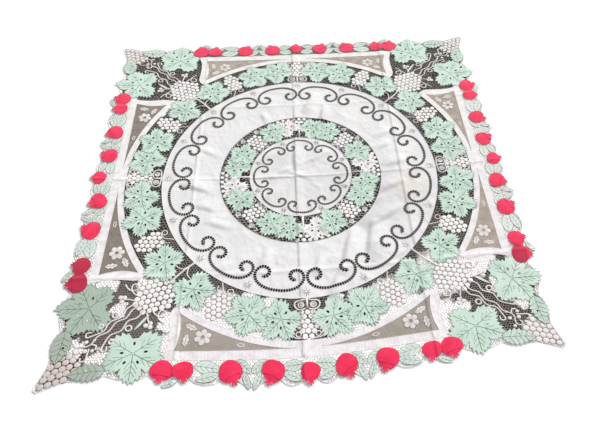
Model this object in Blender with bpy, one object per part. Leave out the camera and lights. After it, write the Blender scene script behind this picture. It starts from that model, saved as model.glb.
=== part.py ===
"""Embroidered cutwork tablecloth of white linen, laid out flat on a surface.

A round centre, a ring and a square border of linen are joined by two round fields of
needle-made bars. Green vine leaves, red fruit garlands and taupe net are sewn on or in.
The plan is drawn flat, in millimetres, with +y away from the person at the table. Each
piece is then creased where the cloth was folded, and pulled a little out of square, the
way it lies. Angles in the tables are in degrees, clockwise from the far side.
"""

import math

import bmesh
import bpy
from mathutils import Vector

MM = 0.001

# Radii of the linen and the fields of bars, in millimetres
CENTRE_R = 152
INNER_FIELD_R = 250
RING_R = 424
OUTER_FIELD_R = 536
BAND_R = 552

# Square border, measured from the middle of the cloth
STRIP_INSIDE = 547
GARLAND_LINE = 603
TIP = 640

# Thickness of each cloth, and the gap left between pieces
LINEN_THICK = 1.2
NET_THICK = 1.0
LEAF_THICK = 1.0
FRUIT_THICK = 1.5
GAP = 0.3
OVERLAY = LINEN_THICK + GAP

# Points on each circle of the plan
CIRCLE_POINTS = {CENTRE_R: 32, INNER_FIELD_R: 40, RING_R: 52, OUTER_FIELD_R: 64}

# Storage folds, right across the cloth: line x or y, its place, half width, height
FOLDS = (
    ("x", -15, 13, 3.6),
    ("y", -6, 13, 2.8),
    ("y", -340, 14, 2.6),
)

# Soft ripples in the plain linen: from x, y, to x, y, half width, height
RING_RIPPLES = (
    (128, -262, 84, -398, 17, 5.0),
    (292, -118, 196, -204, 21, 5.0),
    (196, -216, 178, -318, 17, 4.2),
    (-362, -22, -276, -52, 16, 4.0),
    (62, 366, 16, 276, 16, 4.2),
)
CENTRE_RIPPLES = (
    (104, 92, 26, 28, 20, 2.6),
)

# How far the cloth is pulled out of square: side or corner it is strongest at, along x, along y
SIDE_PULLS = (
    (0, -1, 2, 9),
    (0, 1, 0, -2),
    (-1, 0, 3, 21),
    (1, 0, 2, 14),
)
CORNER_PULLS = (
    (-1, -1, -10, -8),
    (-1, 1, -9, 11),
    (1, -1, 6, 2),
    (1, 1, 12, 8),
)
CENTRE_PULL = (-4, -23)

# The near edge sags in the middle: how deep, and how many radians of wave on each half
FRONT_SAG = 27
FRONT_WAVE = 3.6

# Moves the laid cloth so that its box is centred on the origin
LAY_SHIFT = (-1.05, 0.81)

# One lobe of a vine leaf: turn from its notch, in degrees, and reach as a share of the size
LEAF_LOBES = 5
LEAF_LOBE = ((0, 0.72), (14, 0.96), (36, 1.06), (58, 0.96))
LEAFLET_LOBE = ((0, 0.78), (36, 1.05))

# Vine leaves on each quarter of the inner field and each eighth of the outer one
INNER_LEAF_R = 201
INNER_LEAF_SIZE = 42
INNER_PAIR_ANGLES = (12, 27)
INNER_SINGLE_ANGLE = 65
OUTER_LEAF_R = 483
OUTER_LEAF_SIZE = 47
OUTER_PAIR_ANGLES = (8.6, 19.4)
OUTER_SINGLE_ANGLE = 37.6

# Openings between the bars of the inner field, once a quarter: angle, radius, around, outwards
INNER_GAPS = (
    (3.6, 242, 9, 9),
    (19.5, 240, 15, 11),
    (35.5, 241, 12, 10),
    (46.3, 243, 14, 8),
    (57, 241, 12, 10),
    (74, 240, 14, 11),
    (3.4, 186, 8, 40),
    (19.5, 163, 12, 11),
    (36.5, 163, 12, 12),
    (55.5, 163, 12, 12),
    (74.5, 163, 12, 11),
    (37.3, 203, 8, 18),
    (54.7, 203, 8, 18),
    (86.4, 186, 8, 40),
)

# Openings of the outer field, once an eighth: angle, radius, around, outwards
OUTER_GAPS = (
    (3.1, 525, 13, 11),
    (14, 524, 20, 12),
    (23.9, 522, 14, 14),
    (32.3, 522, 14, 14),
    (42.8, 519, 12, 18),
    (3.5, 436, 20, 14),
    (14, 437, 18, 14),
    (24.2, 444, 14, 22),
    (28.1, 437, 20, 16),
    (32, 444, 14, 22),
    (42.9, 444, 12, 26),
)

# Openings of half a corner field, mirrored on the diagonal: x, y, wide, high, turned
CORNER_GAPS = (
    (358, 484, 24, 26, 10),
    (358, 518, 22, 26, 5),
    (388, 478, 22, 24, -10),
    (418, 474, 22, 20, 20),
    (450, 480, 20, 20, 45),
    (492, 520, 20, 18, 45),
    (504, 552, 20, 20, 10),
    (536, 566, 18, 18, 10),
)
DIAGONAL_GAPS = (
    (478, 478, 16, 26, -45),
    (506, 506, 24, 18, -45),
    (534, 534, 18, 22, -45),
)

# Openings of half a side, between the strip and the garland and under its cord: x, y, wide, high
SIDE_GAPS = (
    (44, 573, 26, 7),
    (126, 573, 20, 7),
    (152, 573, 20, 7),
    (246, 573, 30, 7),
    (139, 622, 22, 8),
)

# Net let in between the round band and the straight strip
NET_TIP_ANGLE = 9
NET_END_ANGLE = 36
NET_END_X = 330
NET_END_DIP = 9
NET_STEPS = 8
NET_FLOWER = (262, 517)
NET_EYELET = (170, 541)

# Leaves of the corners, mirrored on the diagonal: x, y, size, turned
CORNER_LEAF = (424, 563, 69, 20)
CORNER_LEAFLET = (528, 606, 33, 15)

# Fruit garland, half a side: place, radius, lean of its crown
FRUITS = (
    (0, 22, 0),
    (88, 26, 25),
    (190, 27, -25),
    (302, 24, -10),
    (352, 27, 10),
)
SPRAY_HEIGHT = 21
FRUIT_ROOM = 4

# Colours of the cloths

WHITE_LINEN = (0.86, 0.83, 0.79)
BAR_THREAD = (0.83, 0.80, 0.77)
GREEN_LINEN = (0.46, 0.71, 0.60)
DEEP_GREEN = (0.30, 0.42, 0.34)
RED_LINEN = (0.82, 0.03, 0.11)
TAUPE_NET = (0.38, 0.32, 0.23)


def polar(radius, angle):
    """Plan point at a radius, its angle counted clockwise from the far side."""
    turn = math.radians(angle)
    return (radius * math.sin(turn), radius * math.cos(turn))


def turned(points, angle):
    """Plan points turned clockwise about the middle of the cloth."""
    cosine = math.cos(math.radians(angle))
    sine = math.sin(math.radians(angle))
    return [(x * cosine + y * sine, y * cosine - x * sine) for x, y in points]


def mirrored(points):
    """Plan points mirrored on the line x = 0."""
    return [(-x, y) for x, y in points]


def across_diagonal(points):
    """Plan points mirrored on the diagonal x = y."""
    return [(y, x) for x, y in points]


def circle(radius, size=None):
    """Ring of points; size may differ a little from the radius that sets their number."""
    count = CIRCLE_POINTS[radius]
    return [polar(size or radius, 360 * step / count) for step in range(count)]


def box_gap(x, y, wide, high, angle=0):
    """Four-sided opening about a plan point, turned clockwise."""
    corners = [(-wide / 2, -high / 2), (wide / 2, -high / 2), (wide / 2, high / 2), (-wide / 2, high / 2)]
    return [(x + dx, y + dy) for dx, dy in turned(corners, angle)]


def field_gap(angle, radius, around, outwards):
    """Four-sided opening of a round field, square to its radius."""
    x, y = polar(radius, angle)
    return box_gap(x, y, around, outwards, angle)


def leaf_outline(x, y, size, angle, lobe=LEAF_LOBE):
    """Vine leaf of five lobes; a lobe is a row of turn and reach, from notch to notch."""
    points = []
    for number in range(LEAF_LOBES):
        for turn, reach in lobe:
            dx, dy = polar(size * reach, angle + 72 * number + turn)
            points.append((x + dx, y + dy))
    return points


def clear_of(points, x, y, radius):
    """Outline kept outside a circle, by moving the points in it straight out."""
    cleared = []
    for px, py in points:
        distance = math.hypot(px - x, py - y)
        stretch = max(1, radius / distance)
        cleared.append((x + (px - x) * stretch, y + (py - y) * stretch))
    return cleared


def net_outline(margin=0):
    """Curved triangle of net on the right half of the far side; margin widens it."""
    band = BAND_R - margin
    side = STRIP_INSIDE + margin
    points = [(math.sqrt(band * band - side * side), side)]
    span = NET_END_ANGLE - NET_TIP_ANGLE
    for step in range(NET_STEPS + 1):
        points.append(polar(band, NET_TIP_ANGLE + span * step / NET_STEPS))
    end_x, end_y = points[-1]
    points[-1] = (end_x + margin, end_y)
    for share in (0.3, 0.7):
        x = end_x + (NET_END_X - end_x) * share - NET_END_DIP + margin
        points.append((x, end_y + (side - end_y) * share))
    points.append((NET_END_X + margin, side))
    return points


def crown_points(place, radius, lean):
    """Pointed crown on the outer side of a fruit, as offsets in degrees and reach."""
    shape = ((-14, -1), (0, 8), (14, -1))
    points = []
    for turn, reach in shape:
        dx, dy = polar(radius + reach, lean + turn)
        points.append((place + dx, dy))
    return points


def garland_outline():
    """Chain of fruits and leaf sprays along the far side, as one outline."""
    row = [(-place, radius, -lean) for place, radius, lean in reversed(FRUITS[1:])]
    row += list(FRUITS)
    outside = []
    inside = []
    for index, (place, radius, lean) in enumerate(row):
        arc = [polar(radius, angle) for angle in (-70, -42)]
        outside += [(place + dx, dy) for dx, dy in arc]
        outside += crown_points(place, radius, lean)
        outside += [(place - dx, dy) for dx, dy in reversed(arc)]
        inside += [(place + dx, dy) for dx, dy in (polar(radius, angle) for angle in (-115, 180, 115))]
        if index + 1 == len(row):
            break
        start = place + radius + 3
        end = row[index + 1][0] - row[index + 1][1] - 3
        if end - start < SPRAY_HEIGHT:
            continue
        for share, height in ((0, 4), (0.3, SPRAY_HEIGHT), (0.7, SPRAY_HEIGHT), (1, 4)):
            along = start + (end - start) * share
            outside.append((along, height))
            inside.append((along, -height))
    outline = outside + inside[::-1]
    return [(x, GARLAND_LINE + y) for x, y in outline]


def scalloped_edge():
    """Outer edge of the border from the far left corner's tip to the far right one."""
    half = []
    for (place, radius, _), (following, reach, _) in zip(FRUITS[:3], FRUITS[1:4]):
        start = place + radius - 6
        end = following - reach + 6
        for share, rise in ((0, 20), (0.2, 29), (0.5, 32), (0.8, 29), (1, 20)):
            half.append((start + (end - start) * share, GARLAND_LINE + rise))
    half += [(378, 612), (396, 623), (452, 625), (484, 613), (496, 622), (556, 622), (572, 620)]
    half.append((TIP - 8, TIP + 1))
    left = mirrored(half)[::-1]
    return left + half


def border_outline():
    """Outer edge of the whole cloth, round all four sides."""
    points = []
    for quarter in range(4):
        points += turned(scalloped_edge(), 90 * quarter)
    return points


def border_openings():
    """Openings of the square border: round middle, nets, corner fields and garland bars."""
    openings = [circle(OUTER_FIELD_R, OUTER_FIELD_R + GAP)]
    net = net_outline(GAP)
    corner = [box_gap(*row) for row in CORNER_GAPS]
    half = [box_gap(*row) for row in SIDE_GAPS]
    side = half + [mirrored(points) for points in half]
    whole_corner = corner + [across_diagonal(points) for points in corner]
    whole_corner += [box_gap(*row) for row in DIAGONAL_GAPS]
    for quarter in range(4):
        for outline in [net, mirrored(net)] + side + whole_corner:
            openings.append(turned(outline, 90 * quarter))
    return openings


def pull(x, y):
    """Where a point of the square plan comes to lie, still in millimetres."""
    u = x / TIP
    v = y / TIP
    middle = (1 - u * u) * (1 - v * v)
    along = CENTRE_PULL[0] * middle
    away = CENTRE_PULL[1] * middle
    for side_x, side_y, pull_x, pull_y in SIDE_PULLS:
        other = v if side_x else u
        weight = ((1 + side_x * u + side_y * v) / 2) ** 2 * (1 - other * other)
        along += pull_x * weight
        away += pull_y * weight
    for side_x, side_y, pull_x, pull_y in CORNER_PULLS:
        weight = ((1 + side_x * u) / 2) ** 2 * ((1 + side_y * v) / 2) ** 2
        along += pull_x * weight
        away += pull_y * weight
    nearness = max(0, (1 - v) / 2) ** 10
    away -= FRONT_SAG * math.cos(FRONT_WAVE * u) * nearness
    return (x + along + LAY_SHIFT[0], y + away + LAY_SHIFT[1])


def ridge(distance, half_width, height):
    """Height of a fold at a distance from its line."""
    return height * max(0, 1 - abs(distance) / half_width)


def lift(x, y, ripples):
    """Height of the cloth's underside above the surface at a plan point."""
    height = 0
    for axis, place, half_width, top in FOLDS:
        height += ridge((x if axis == "x" else y) - place, half_width, top)
    for x0, y0, x1, y1, half_width, top in ripples:
        length = math.hypot(x1 - x0, y1 - y0)
        dx = (x1 - x0) / length
        dy = (y1 - y0) / length
        along = ((x - x0) * dx + (y - y0) * dy) / length
        if 0 < along < 1:
            aside = (x - x0) * dy - (y - y0) * dx
            height += ridge(aside, half_width, top) * (1 - abs(2 * along - 1))
    return height


def cut_line(mesh, faces, x, y, normal_x, normal_y):
    """Cut faces along an upright plane through a plan point."""
    edges = {edge for face in faces for edge in face.edges}
    points = {point for face in faces for point in face.verts}
    bmesh.ops.bisect_plane(
        mesh,
        geom=list(points) + list(edges) + list(faces),
        dist=1e-5,
        plane_co=(x, y, 0),
        plane_no=(normal_x, normal_y, 0),
    )


def crease(mesh, ripples):
    """Cut a flat piece along its folds, so that it can bend there."""
    for axis, place, half_width, _ in FOLDS:
        for offset in (-half_width, 0, half_width):
            at = place + offset
            if axis == "x":
                cut_line(mesh, mesh.faces, at, 0, 1, 0)
            else:
                cut_line(mesh, mesh.faces, 0, at, 0, 1)
    for x0, y0, x1, y1, half_width, _ in ripples:
        length = math.hypot(x1 - x0, y1 - y0)
        dx = (x1 - x0) / length
        dy = (y1 - y0) / length
        for offset in (-half_width, 0, half_width):
            near = faces_near(mesh, x0, y0, x1, y1, half_width)
            cut_line(mesh, near, x0 + dy * offset, y0 - dx * offset, dy, -dx)
        for share in (0, 0.5, 1):
            near = faces_near(mesh, x0, y0, x1, y1, half_width)
            cut_line(mesh, near, x0 + (x1 - x0) * share, y0 + (y1 - y0) * share, dx, dy)


def faces_near(mesh, x0, y0, x1, y1, reach):
    """Faces whose box meets the box round a ripple."""
    low_x = min(x0, x1) - reach
    high_x = max(x0, x1) + reach
    low_y = min(y0, y1) - reach
    high_y = max(y0, y1) + reach
    near = []
    for face in mesh.faces:
        xs = [point.co.x for point in face.verts]
        ys = [point.co.y for point in face.verts]
        if min(xs) < high_x and max(xs) > low_x and min(ys) < high_y and max(ys) > low_y:
            near.append(face)
    return near


def finish_of(name, colour, roughness=0.85):
    """Cloth finish of one colour."""
    finish = bpy.data.materials.get(name)
    if finish is None:
        finish = bpy.data.materials.new(name)
        finish.use_nodes = True
        shader = finish.node_tree.nodes["Principled BSDF"]
        shader.inputs["Base Color"].default_value = (*colour, 1)
        shader.inputs["Roughness"].default_value = roughness
        shader.inputs["Metallic"].default_value = 0
    return finish


def flat_mesh(outlines, thick):
    """Closed flat mesh, in millimetres, from an outline and the openings in it."""
    curve = bpy.data.curves.new("outline", "CURVE")
    curve.dimensions = "2D"
    curve.fill_mode = "BOTH"
    curve.extrude = thick / 2
    for outline in outlines:
        spline = curve.splines.new("POLY")
        spline.points.add(len(outline) - 1)
        for point, (x, y) in zip(spline.points, outline):
            point.co = (x, y, 0, 1)
        spline.use_cyclic_u = True
    holder = bpy.data.objects.new("outline", curve)
    bpy.context.scene.collection.objects.link(holder)
    graph = bpy.context.evaluated_depsgraph_get()
    flat = bpy.data.meshes.new_from_object(holder.evaluated_get(graph))
    bpy.data.objects.remove(holder)
    bpy.data.curves.remove(curve)
    mesh = bmesh.new()
    mesh.from_mesh(flat)
    bpy.data.meshes.remove(flat)
    bmesh.ops.remove_doubles(mesh, verts=mesh.verts, dist=0.001)
    return mesh


def lay_piece(name, mesh, thick, bottom, finish, ripples=()):
    """Crease a flat piece, pull it to where it lies and add it to the cloth."""
    crease(mesh, ripples)
    for point in mesh.verts:
        x, y = point.co.x, point.co.y
        upper = point.co.z > 0
        height = bottom + (thick if upper else 0) + lift(x, y, ripples)
        laid_x, laid_y = pull(x, y)
        point.co = Vector((laid_x, laid_y, height)) * MM
    bmesh.ops.recalc_face_normals(mesh, faces=mesh.faces)
    data = bpy.data.meshes.new(name)
    mesh.to_mesh(data)
    mesh.free()
    data.materials.append(finish)
    piece = bpy.data.objects.new(name, data)
    cloth.objects.link(piece)
    return piece


def joined_mesh(first, second, thick):
    """Flat mesh of two outlines that overlap, joined into one."""
    holders = []
    for outline in (first, second):
        mesh = flat_mesh([outline], thick)
        data = bpy.data.meshes.new("leaf")
        mesh.to_mesh(data)
        mesh.free()
        holder = bpy.data.objects.new("leaf", data)
        bpy.context.scene.collection.objects.link(holder)
        holders.append(holder)
    join = holders[0].modifiers.new("join", "BOOLEAN")
    join.operation = "UNION"
    join.solver = "EXACT"
    join.object = holders[1]
    graph = bpy.context.evaluated_depsgraph_get()
    joined = bpy.data.meshes.new_from_object(holders[0].evaluated_get(graph))
    for holder in holders:
        bpy.data.objects.remove(holder)
    mesh = bmesh.new()
    mesh.from_mesh(joined)
    bmesh.ops.remove_doubles(mesh, verts=mesh.verts, dist=0.001)
    bmesh.ops.dissolve_limit(mesh, angle_limit=0.001, verts=mesh.verts, edges=mesh.edges)
    bmesh.ops.triangulate(mesh, faces=mesh.faces)
    return mesh


def make_linen():
    """White linen: round centre and ring."""
    finish = finish_of("white_linen", WHITE_LINEN)
    centre = flat_mesh([circle(CENTRE_R)], LINEN_THICK)
    lay_piece("centre_linen", centre, LINEN_THICK, 0, finish, CENTRE_RIPPLES)
    ring = flat_mesh([circle(RING_R), circle(INNER_FIELD_R, INNER_FIELD_R + GAP)], LINEN_THICK)
    lay_piece("ring_linen", ring, LINEN_THICK, 0, finish, RING_RIPPLES)


def make_fields():
    """Round fields of bars between the linen pieces."""
    finish = finish_of("bar_thread", BAR_THREAD)
    inner = [circle(INNER_FIELD_R), circle(CENTRE_R, CENTRE_R + GAP)]
    for quarter in range(4):
        for angle, radius, around, outwards in INNER_GAPS:
            inner.append(field_gap(angle + 90 * quarter, radius, around, outwards))
    lay_piece("inner_field", flat_mesh(inner, LINEN_THICK), LINEN_THICK, 0, finish)
    outer = [circle(OUTER_FIELD_R), circle(RING_R, RING_R + GAP)]
    for quarter in range(4):
        for angle, radius, around, outwards in OUTER_GAPS:
            for side in (angle, -angle):
                outer.append(field_gap(side + 90 * quarter, radius, around, outwards))
    lay_piece("outer_field", flat_mesh(outer, LINEN_THICK), LINEN_THICK, 0, finish)


def make_border():
    """Square border of linen with its corner fields and scalloped edge."""
    finish = finish_of("white_linen", WHITE_LINEN)
    mesh = flat_mesh([border_outline()] + border_openings(), LINEN_THICK)
    lay_piece("border_linen", mesh, LINEN_THICK, 0, finish)


def make_nets():
    """Taupe net let into the border, two pieces a side."""
    finish = finish_of("taupe_net", TAUPE_NET)
    flower = [(NET_FLOWER[0] + dx, NET_FLOWER[1] + dy) for dx, dy in (polar(5, 60 * k) for k in range(6))]
    eyelet = box_gap(*NET_EYELET, 10, 5)
    right = [net_outline(), flower, eyelet]
    number = 0
    for quarter in range(4):
        for outlines in (right, [mirrored(points) for points in right]):
            number += 1
            placed = [turned(points, 90 * quarter) for points in outlines]
            lay_piece(f"net_{number}", flat_mesh(placed, NET_THICK), NET_THICK, 0, finish)


def make_leaf(name, outline, finish):
    """One green leaf sewn on."""
    lay_piece(name, flat_mesh([outline], LEAF_THICK), LEAF_THICK, OVERLAY, finish)


def make_leaf_pair(name, first, second, finish):
    """Two green leaves that overlap, sewn on as one."""
    lay_piece(name, joined_mesh(first, second, LEAF_THICK), LEAF_THICK, OVERLAY, finish)


def make_inner_leaves():
    """Leaves of the inner field: a pair and a single in each quarter."""
    finish = finish_of("green_linen", GREEN_LINEN)
    for quarter in range(4):
        start = 90 * quarter
        pair = []
        for angle in INNER_PAIR_ANGLES:
            x, y = polar(INNER_LEAF_R, start + angle)
            pair.append(leaf_outline(x, y, INNER_LEAF_SIZE, start + angle + 36))
        make_leaf_pair(f"inner_leaf_pair_{quarter + 1}", *pair, finish)
        x, y = polar(INNER_LEAF_R, start + INNER_SINGLE_ANGLE)
        single = leaf_outline(x, y, INNER_LEAF_SIZE, start + INNER_SINGLE_ANGLE + 36)
        make_leaf(f"inner_leaf_{quarter + 1}", single, finish)


def make_outer_leaves():
    """Leaves of the outer field: a pair and a single in each eighth."""
    finish = finish_of("green_linen", GREEN_LINEN)
    number = 0
    for quarter in range(4):
        start = 90 * quarter
        for side in (1, -1):
            number += 1
            pair = []
            for angle in OUTER_PAIR_ANGLES:
                x, y = polar(OUTER_LEAF_R, start + side * angle)
                pair.append(leaf_outline(x, y, OUTER_LEAF_SIZE, start + side * angle + 36))
            make_leaf_pair(f"outer_leaf_pair_{number}", *pair, finish)
            angle = start + side * OUTER_SINGLE_ANGLE
            x, y = polar(OUTER_LEAF_R, angle)
            make_leaf(f"outer_leaf_{number}", leaf_outline(x, y, OUTER_LEAF_SIZE, angle + 36), finish)


def make_corner_leaves():
    """Large and small leaf on each side of every corner's diagonal."""
    large = finish_of("green_linen", GREEN_LINEN)
    small = finish_of("deep_green", DEEP_GREEN)
    x, y, size, turn = CORNER_LEAF
    fruit_x, fruit_r, _ = FRUITS[-1]
    leaf = clear_of(leaf_outline(x, y, size, turn), fruit_x, GARLAND_LINE, fruit_r + FRUIT_ROOM)
    x, y, size, turn = CORNER_LEAFLET
    leaflet = [(px, y + (py - y) * 0.62) for px, py in leaf_outline(x, y, size, turn, LEAFLET_LOBE)]
    number = 0
    for quarter in range(4):
        for flip in (list, across_diagonal):
            number += 1
            make_leaf(f"corner_leaf_{number}", turned(flip(leaf), 90 * quarter), large)
            make_leaf(f"corner_leaflet_{number}", turned(flip(leaflet), 90 * quarter), small)


def make_garlands():
    """Chain of red fruits and leaf sprays along each side."""
    finish = finish_of("red_linen", RED_LINEN)
    for number, side in enumerate(("far", "right", "near", "left")):
        outline = turned(garland_outline(), 90 * number)
        lay_piece(f"garland_{side}", flat_mesh([outline], FRUIT_THICK), FRUIT_THICK, OVERLAY, finish)


for leftover in list(bpy.data.objects):
    bpy.data.objects.remove(leftover)
cloth = bpy.data.collections.new("embroidered_tablecloth")
bpy.context.scene.collection.children.link(cloth)

make_linen()
make_fields()
make_border()
make_nets()
make_inner_leaves()
make_outer_leaves()
make_corner_leaves()
make_garlands()
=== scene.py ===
"""Looks of the embroidered cutwork tablecloth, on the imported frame.

Every piece is drawn flat in the plan of the cloth, in millimetres, with +y towards its far
side. It is then laid: pulled a little out of square and lifted over the storage folds, the
way the cloth lies. Angles are in degrees, clockwise from the far side.
"""

import math
import random
from itertools import product

import bpy
import numpy as np
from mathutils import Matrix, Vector
from mathutils.geometry import delaunay_2d_cdt
from mathutils.kdtree import KDTree


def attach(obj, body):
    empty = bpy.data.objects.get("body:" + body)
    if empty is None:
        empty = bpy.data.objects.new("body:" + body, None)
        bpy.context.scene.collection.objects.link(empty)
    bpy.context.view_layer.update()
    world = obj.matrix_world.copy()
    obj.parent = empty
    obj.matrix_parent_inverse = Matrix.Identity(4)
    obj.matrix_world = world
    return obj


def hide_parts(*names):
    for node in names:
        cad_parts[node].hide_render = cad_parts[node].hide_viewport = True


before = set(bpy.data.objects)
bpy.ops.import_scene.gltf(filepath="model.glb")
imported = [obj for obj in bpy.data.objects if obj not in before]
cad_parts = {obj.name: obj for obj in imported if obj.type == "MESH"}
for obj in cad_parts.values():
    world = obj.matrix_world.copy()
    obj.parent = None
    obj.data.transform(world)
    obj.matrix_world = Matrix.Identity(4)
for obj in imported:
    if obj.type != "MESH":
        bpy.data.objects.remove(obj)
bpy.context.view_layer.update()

MM = 0.001

# Camera at the photo's angle
eye = bpy.data.cameras.new("camera")
eye.lens = 28.64
eye.sensor_width = 36
eye.shift_x = -0.0772
camera = bpy.data.objects.new("camera", eye)
camera.location = (0.03395, -0.96419, 1.167)
camera.rotation_euler = [math.radians(angle) for angle in (33.56, -1.15, -4.91)]
bpy.context.scene.collection.objects.link(camera)
bpy.context.scene.camera = camera

# Every uneven length and lean is drawn from this, so that each run gives the same cloth
chance = random.Random(11)

# Outer radii of the round centre, the inner field, the ring, the outer field and the round band
CENTRE_EDGE = 157
INNER_FIELD_R = 250
RING_R = 424
OUTER_FIELD_R = 536
BAND_R = 554

# Square border: both edges of its straight strips, the middle line of the garlands and where
# the tip of a corner is
STRIP_INSIDE = 553
STRIP_OUTSIDE = 576
GARLAND_LINE = 603
TIP = 640
SIDES = ("far", "right", "near", "left")

# Thickness of each cloth
LINEN_THICK = 1.1
NET_THICK = 0.5
LEAF_THICK = 0.6
GARLAND_LEAF_THICK = 0.5
FRUIT_THICK = 0.9

# Heights above the surface, and how much higher a leaf lies where it overlaps another
NET_BASE = 0.2
BAR_HEIGHT = 0.5
GARLAND_LEAF_BASE = 0.75
LEAF_BASE = 1.05
TENDRIL_HEIGHT = 1.1
FRUIT_BASE = 2.1
OVERLAP = 0.9

# Height of an even triangle as a share of its side
ROW_PITCH = 0.866

# How far apart the points inside each cloth are
SPACING = {
    "centre": 4.2, "ring": 5.4, "frame": 6.5, "net": 8, "sprig": 6, "leaf": 7, "leaflet": 6.5,
    "fruit": 4.5, "garland_leaf": 6, "bud": 6,
}

# Storage folds: line x or y, its place, half width on the low and the high side, height, how
# sharp, and how much higher near the middle of the cloth, then how far along that reaches
FOLDS = (
    ("x", -15, 4.5, 28, 2.5, 1.25, 0.35),
    ("y", -6, 7, 11, 1.7, 1.4, 0.3),
    ("y", -340, 12, 12, 1.9, 1.4, 0),
    ("x", -325, 6, 11, 1.9, 1.3, 0),
    ("x", 312, 5, 24, 2.3, 1.3, 0),
    ("y", 310, 11, 11, 1.2, 1.4, 0),
)
FOLD_SWELL_REACH = 130
# Where a cloth gets rows of points across a fold, as shares of its half widths
FOLD_ROWS = (-1, -0.6, -0.28, 0, 0.2, 0.45, 0.72, 1)

# Soft ripples: from x, y, to x, y, half width of the steep side on the right of that line and
# of the gentle side on its left, height; then how they fade towards their ends
RIPPLES = (
    (172, -218, 300, -142, 17, 52, 10.0),
    (208, -188, 176, -330, 18, 92, 9.6),
    (226, -86, 322, -46, 14, 44, 6.4),
    (258, 20, 352, 34, 11, 40, 4.4),
    (246, -326, 302, -288, 10, 14, 3.8),
    (348, -196, 376, -158, 10, 14, 3.4),
    (144, -204, 98, -366, 14, 60, 8.4),
    (106, -330, 60, -426, 13, 40, 5.6),
    (-366, -20, -272, -54, 14, 52, 5.6),
    (64, 370, 14, 270, 13, 50, 7.6),
    (34, 52, 92, 98, 14, 22, 4.0),
    (-322, -102, -248, -124, 14, 44, 4.4),
    (50, -286, 20, -364, 12, 24, 4.8),
    (-284, -163, -196, -192, 14, 24, 3.2),
    (-324, 122, -256, 88, 14, 24, 3.0),
    (92, 306, 74, 226, 11, 40, 5.8),
    (-126, 284, -104, 226, 13, 24, 3.8),
    (246, 138, 304, 172, 14, 24, 4.2),
    (236, 88, 304, 117, 14, 24, 3.6),
    (-14, 118, -14, 16, 12, 34, 4.4),
    (-52, 21, 40, -22, 9, 16, 2.4),
    (-10, 38, 46, 67, 8, 14, 2.4),
    (22, 126, -6, 60, 9, 16, 3.4),
    (-70, 6, -24, 33, 10, 24, 4.4),
    (30, -30, 64, -62, 10, 16, 1.8),
    (-140, -5, -30, 0, 12, 20, 2.2),
    (-93, -258, -122, -334, 16, 30, 4.6),
    (-198, -298, -252, -332, 16, 24, 3.2),
    (-60, -40, -110, -90, 26, 30, 2.4),
)
RIPPLE_FADE = 0.8

# How far the cloth is pulled out of square: side or corner, along x, along y
SIDE_PULLS = ((0, -1, 2, 9), (0, 1, 0, -2), (-1, 0, 3, 21), (1, 0, 2, 14))
CORNER_PULLS = ((-1, -1, -10, -8), (-1, 1, -9, 11), (1, -1, 6, 2), (1, 1, 12, 8))
CENTRE_PULL = (-4, -23)
# Bow of the near edge: how far, how it goes along the edge and how soon it dies out behind it
FRONT_SAG = 27
FRONT_WAVE = 3.6
FRONT_FADE = 10
LAY_SHIFT = (-1.05, 0.81)

# Lobes of half a vine leaf: turn of the tip from the middle vein, its reach from where the
# veins meet as a share of the leaf's size, then the turn and the reach of the cleft after it
LEAF_LOBES = ((0, 1.29, 31, 0.70), (61, 1.25, 96, 0.83), (125, 1.17, 170, 0.62))
# A lobe's side: how much of its reach it loses early on, how early, how much it loses evenly,
# and how late it turns into the cleft
SIDE_ROUND = 0.16
SIDE_ROUND_POWER = 0.6
SIDE_SLOPE = 0.08
CLEFT_POWER = 7
# Teeth on a lobe's side, as shares of the way to the cleft, on large leaves and on small ones
LEAF_TEETH = (0.27, 0.55, 0.83)
SMALL_LEAF_TEETH = (0.36, 0.77)
# Size up to which a leaf is small
SMALL_LEAF = 50
# Depth of a tooth, and the shares of it that lie inside and outside the lobe's side
TOOTH_DEPTH = 6.6
TOOTH_IN = 0.9
TOOTH_OUT = 0.55
# Where the veins meet, out from the leaf's middle; then turn and reach of each vein
VEINS_MEET = 0.06
VEIN_TURNS = ((0, 1.14), (62, 1.10), (-62, 1.10), (125, 0.98), (-125, 0.98))
# Side veins of the middle vein and of the others: place along the vein, length
MIDDLE_TWIGS = ((0.26, 0.40), (0.45, 0.36), (0.64, 0.26))
SIDE_TWIGS = ((0.34, 0.34), (0.58, 0.26))
# Eyelets: turn and reach of each, then half of their width and length
EYELET_PLACES = ((31, 0.44), (-31, 0.42), (94, 0.42), (-94, 0.44), (176, 0.36))
EYELET_HALF = (2.6, 4.6)
# Radius of the threads round a leaf, round an eyelet, on a vein and on a side vein
LEAF_EDGE_CORD = 0.62
EYELET_CORD = 0.45
VEIN_CORD = 0.6
TWIG_CORD = 0.42
# The edge's thread lies this much under a leaf's upper side, and the veins this much over it
LEAF_EDGE_DOWN = 0.25
VEIN_UP = 0.15
# Points of a main vein, as shares of its length; how far the tip of a side vein curls back
VEIN_POINTS = (0.03, 0.35, 0.7, 0.97)
TWIG_CURL = 7
# How uneven a leaf is, from and to: reach of a lobe, reach and turn of a point of the edge,
# bend of a main vein, lean of a side vein, turn of an eyelet, how much farther out it lies
LOBE_UNEVEN = (0.95, 1.05)
EDGE_UNEVEN = (0.985, 1.015)
EDGE_TURN = (-0.6, 0.6)
VEIN_BEND = (-7, 7)
TWIG_LEAN = (36, 46)
EYELET_TURN = (-5, 5)
EYELET_OUT = (-0.04, 0.04)

# Vine leaves on each quarter of the inner field. The lean of a pair is how far its middle lobes
# turn from straight outwards, and how much more for each degree from the axis.
INNER_LEAF_R = 201
INNER_LEAF_SIZE = 41
INNER_PAIR_ANGLES = (12, 27)
INNER_PAIR_LEAN = (15, 2.2)
INNER_SINGLE_ANGLE = 65
INNER_SINGLE_LEAN = -50
INNER_THREADS = 0.8

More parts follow.
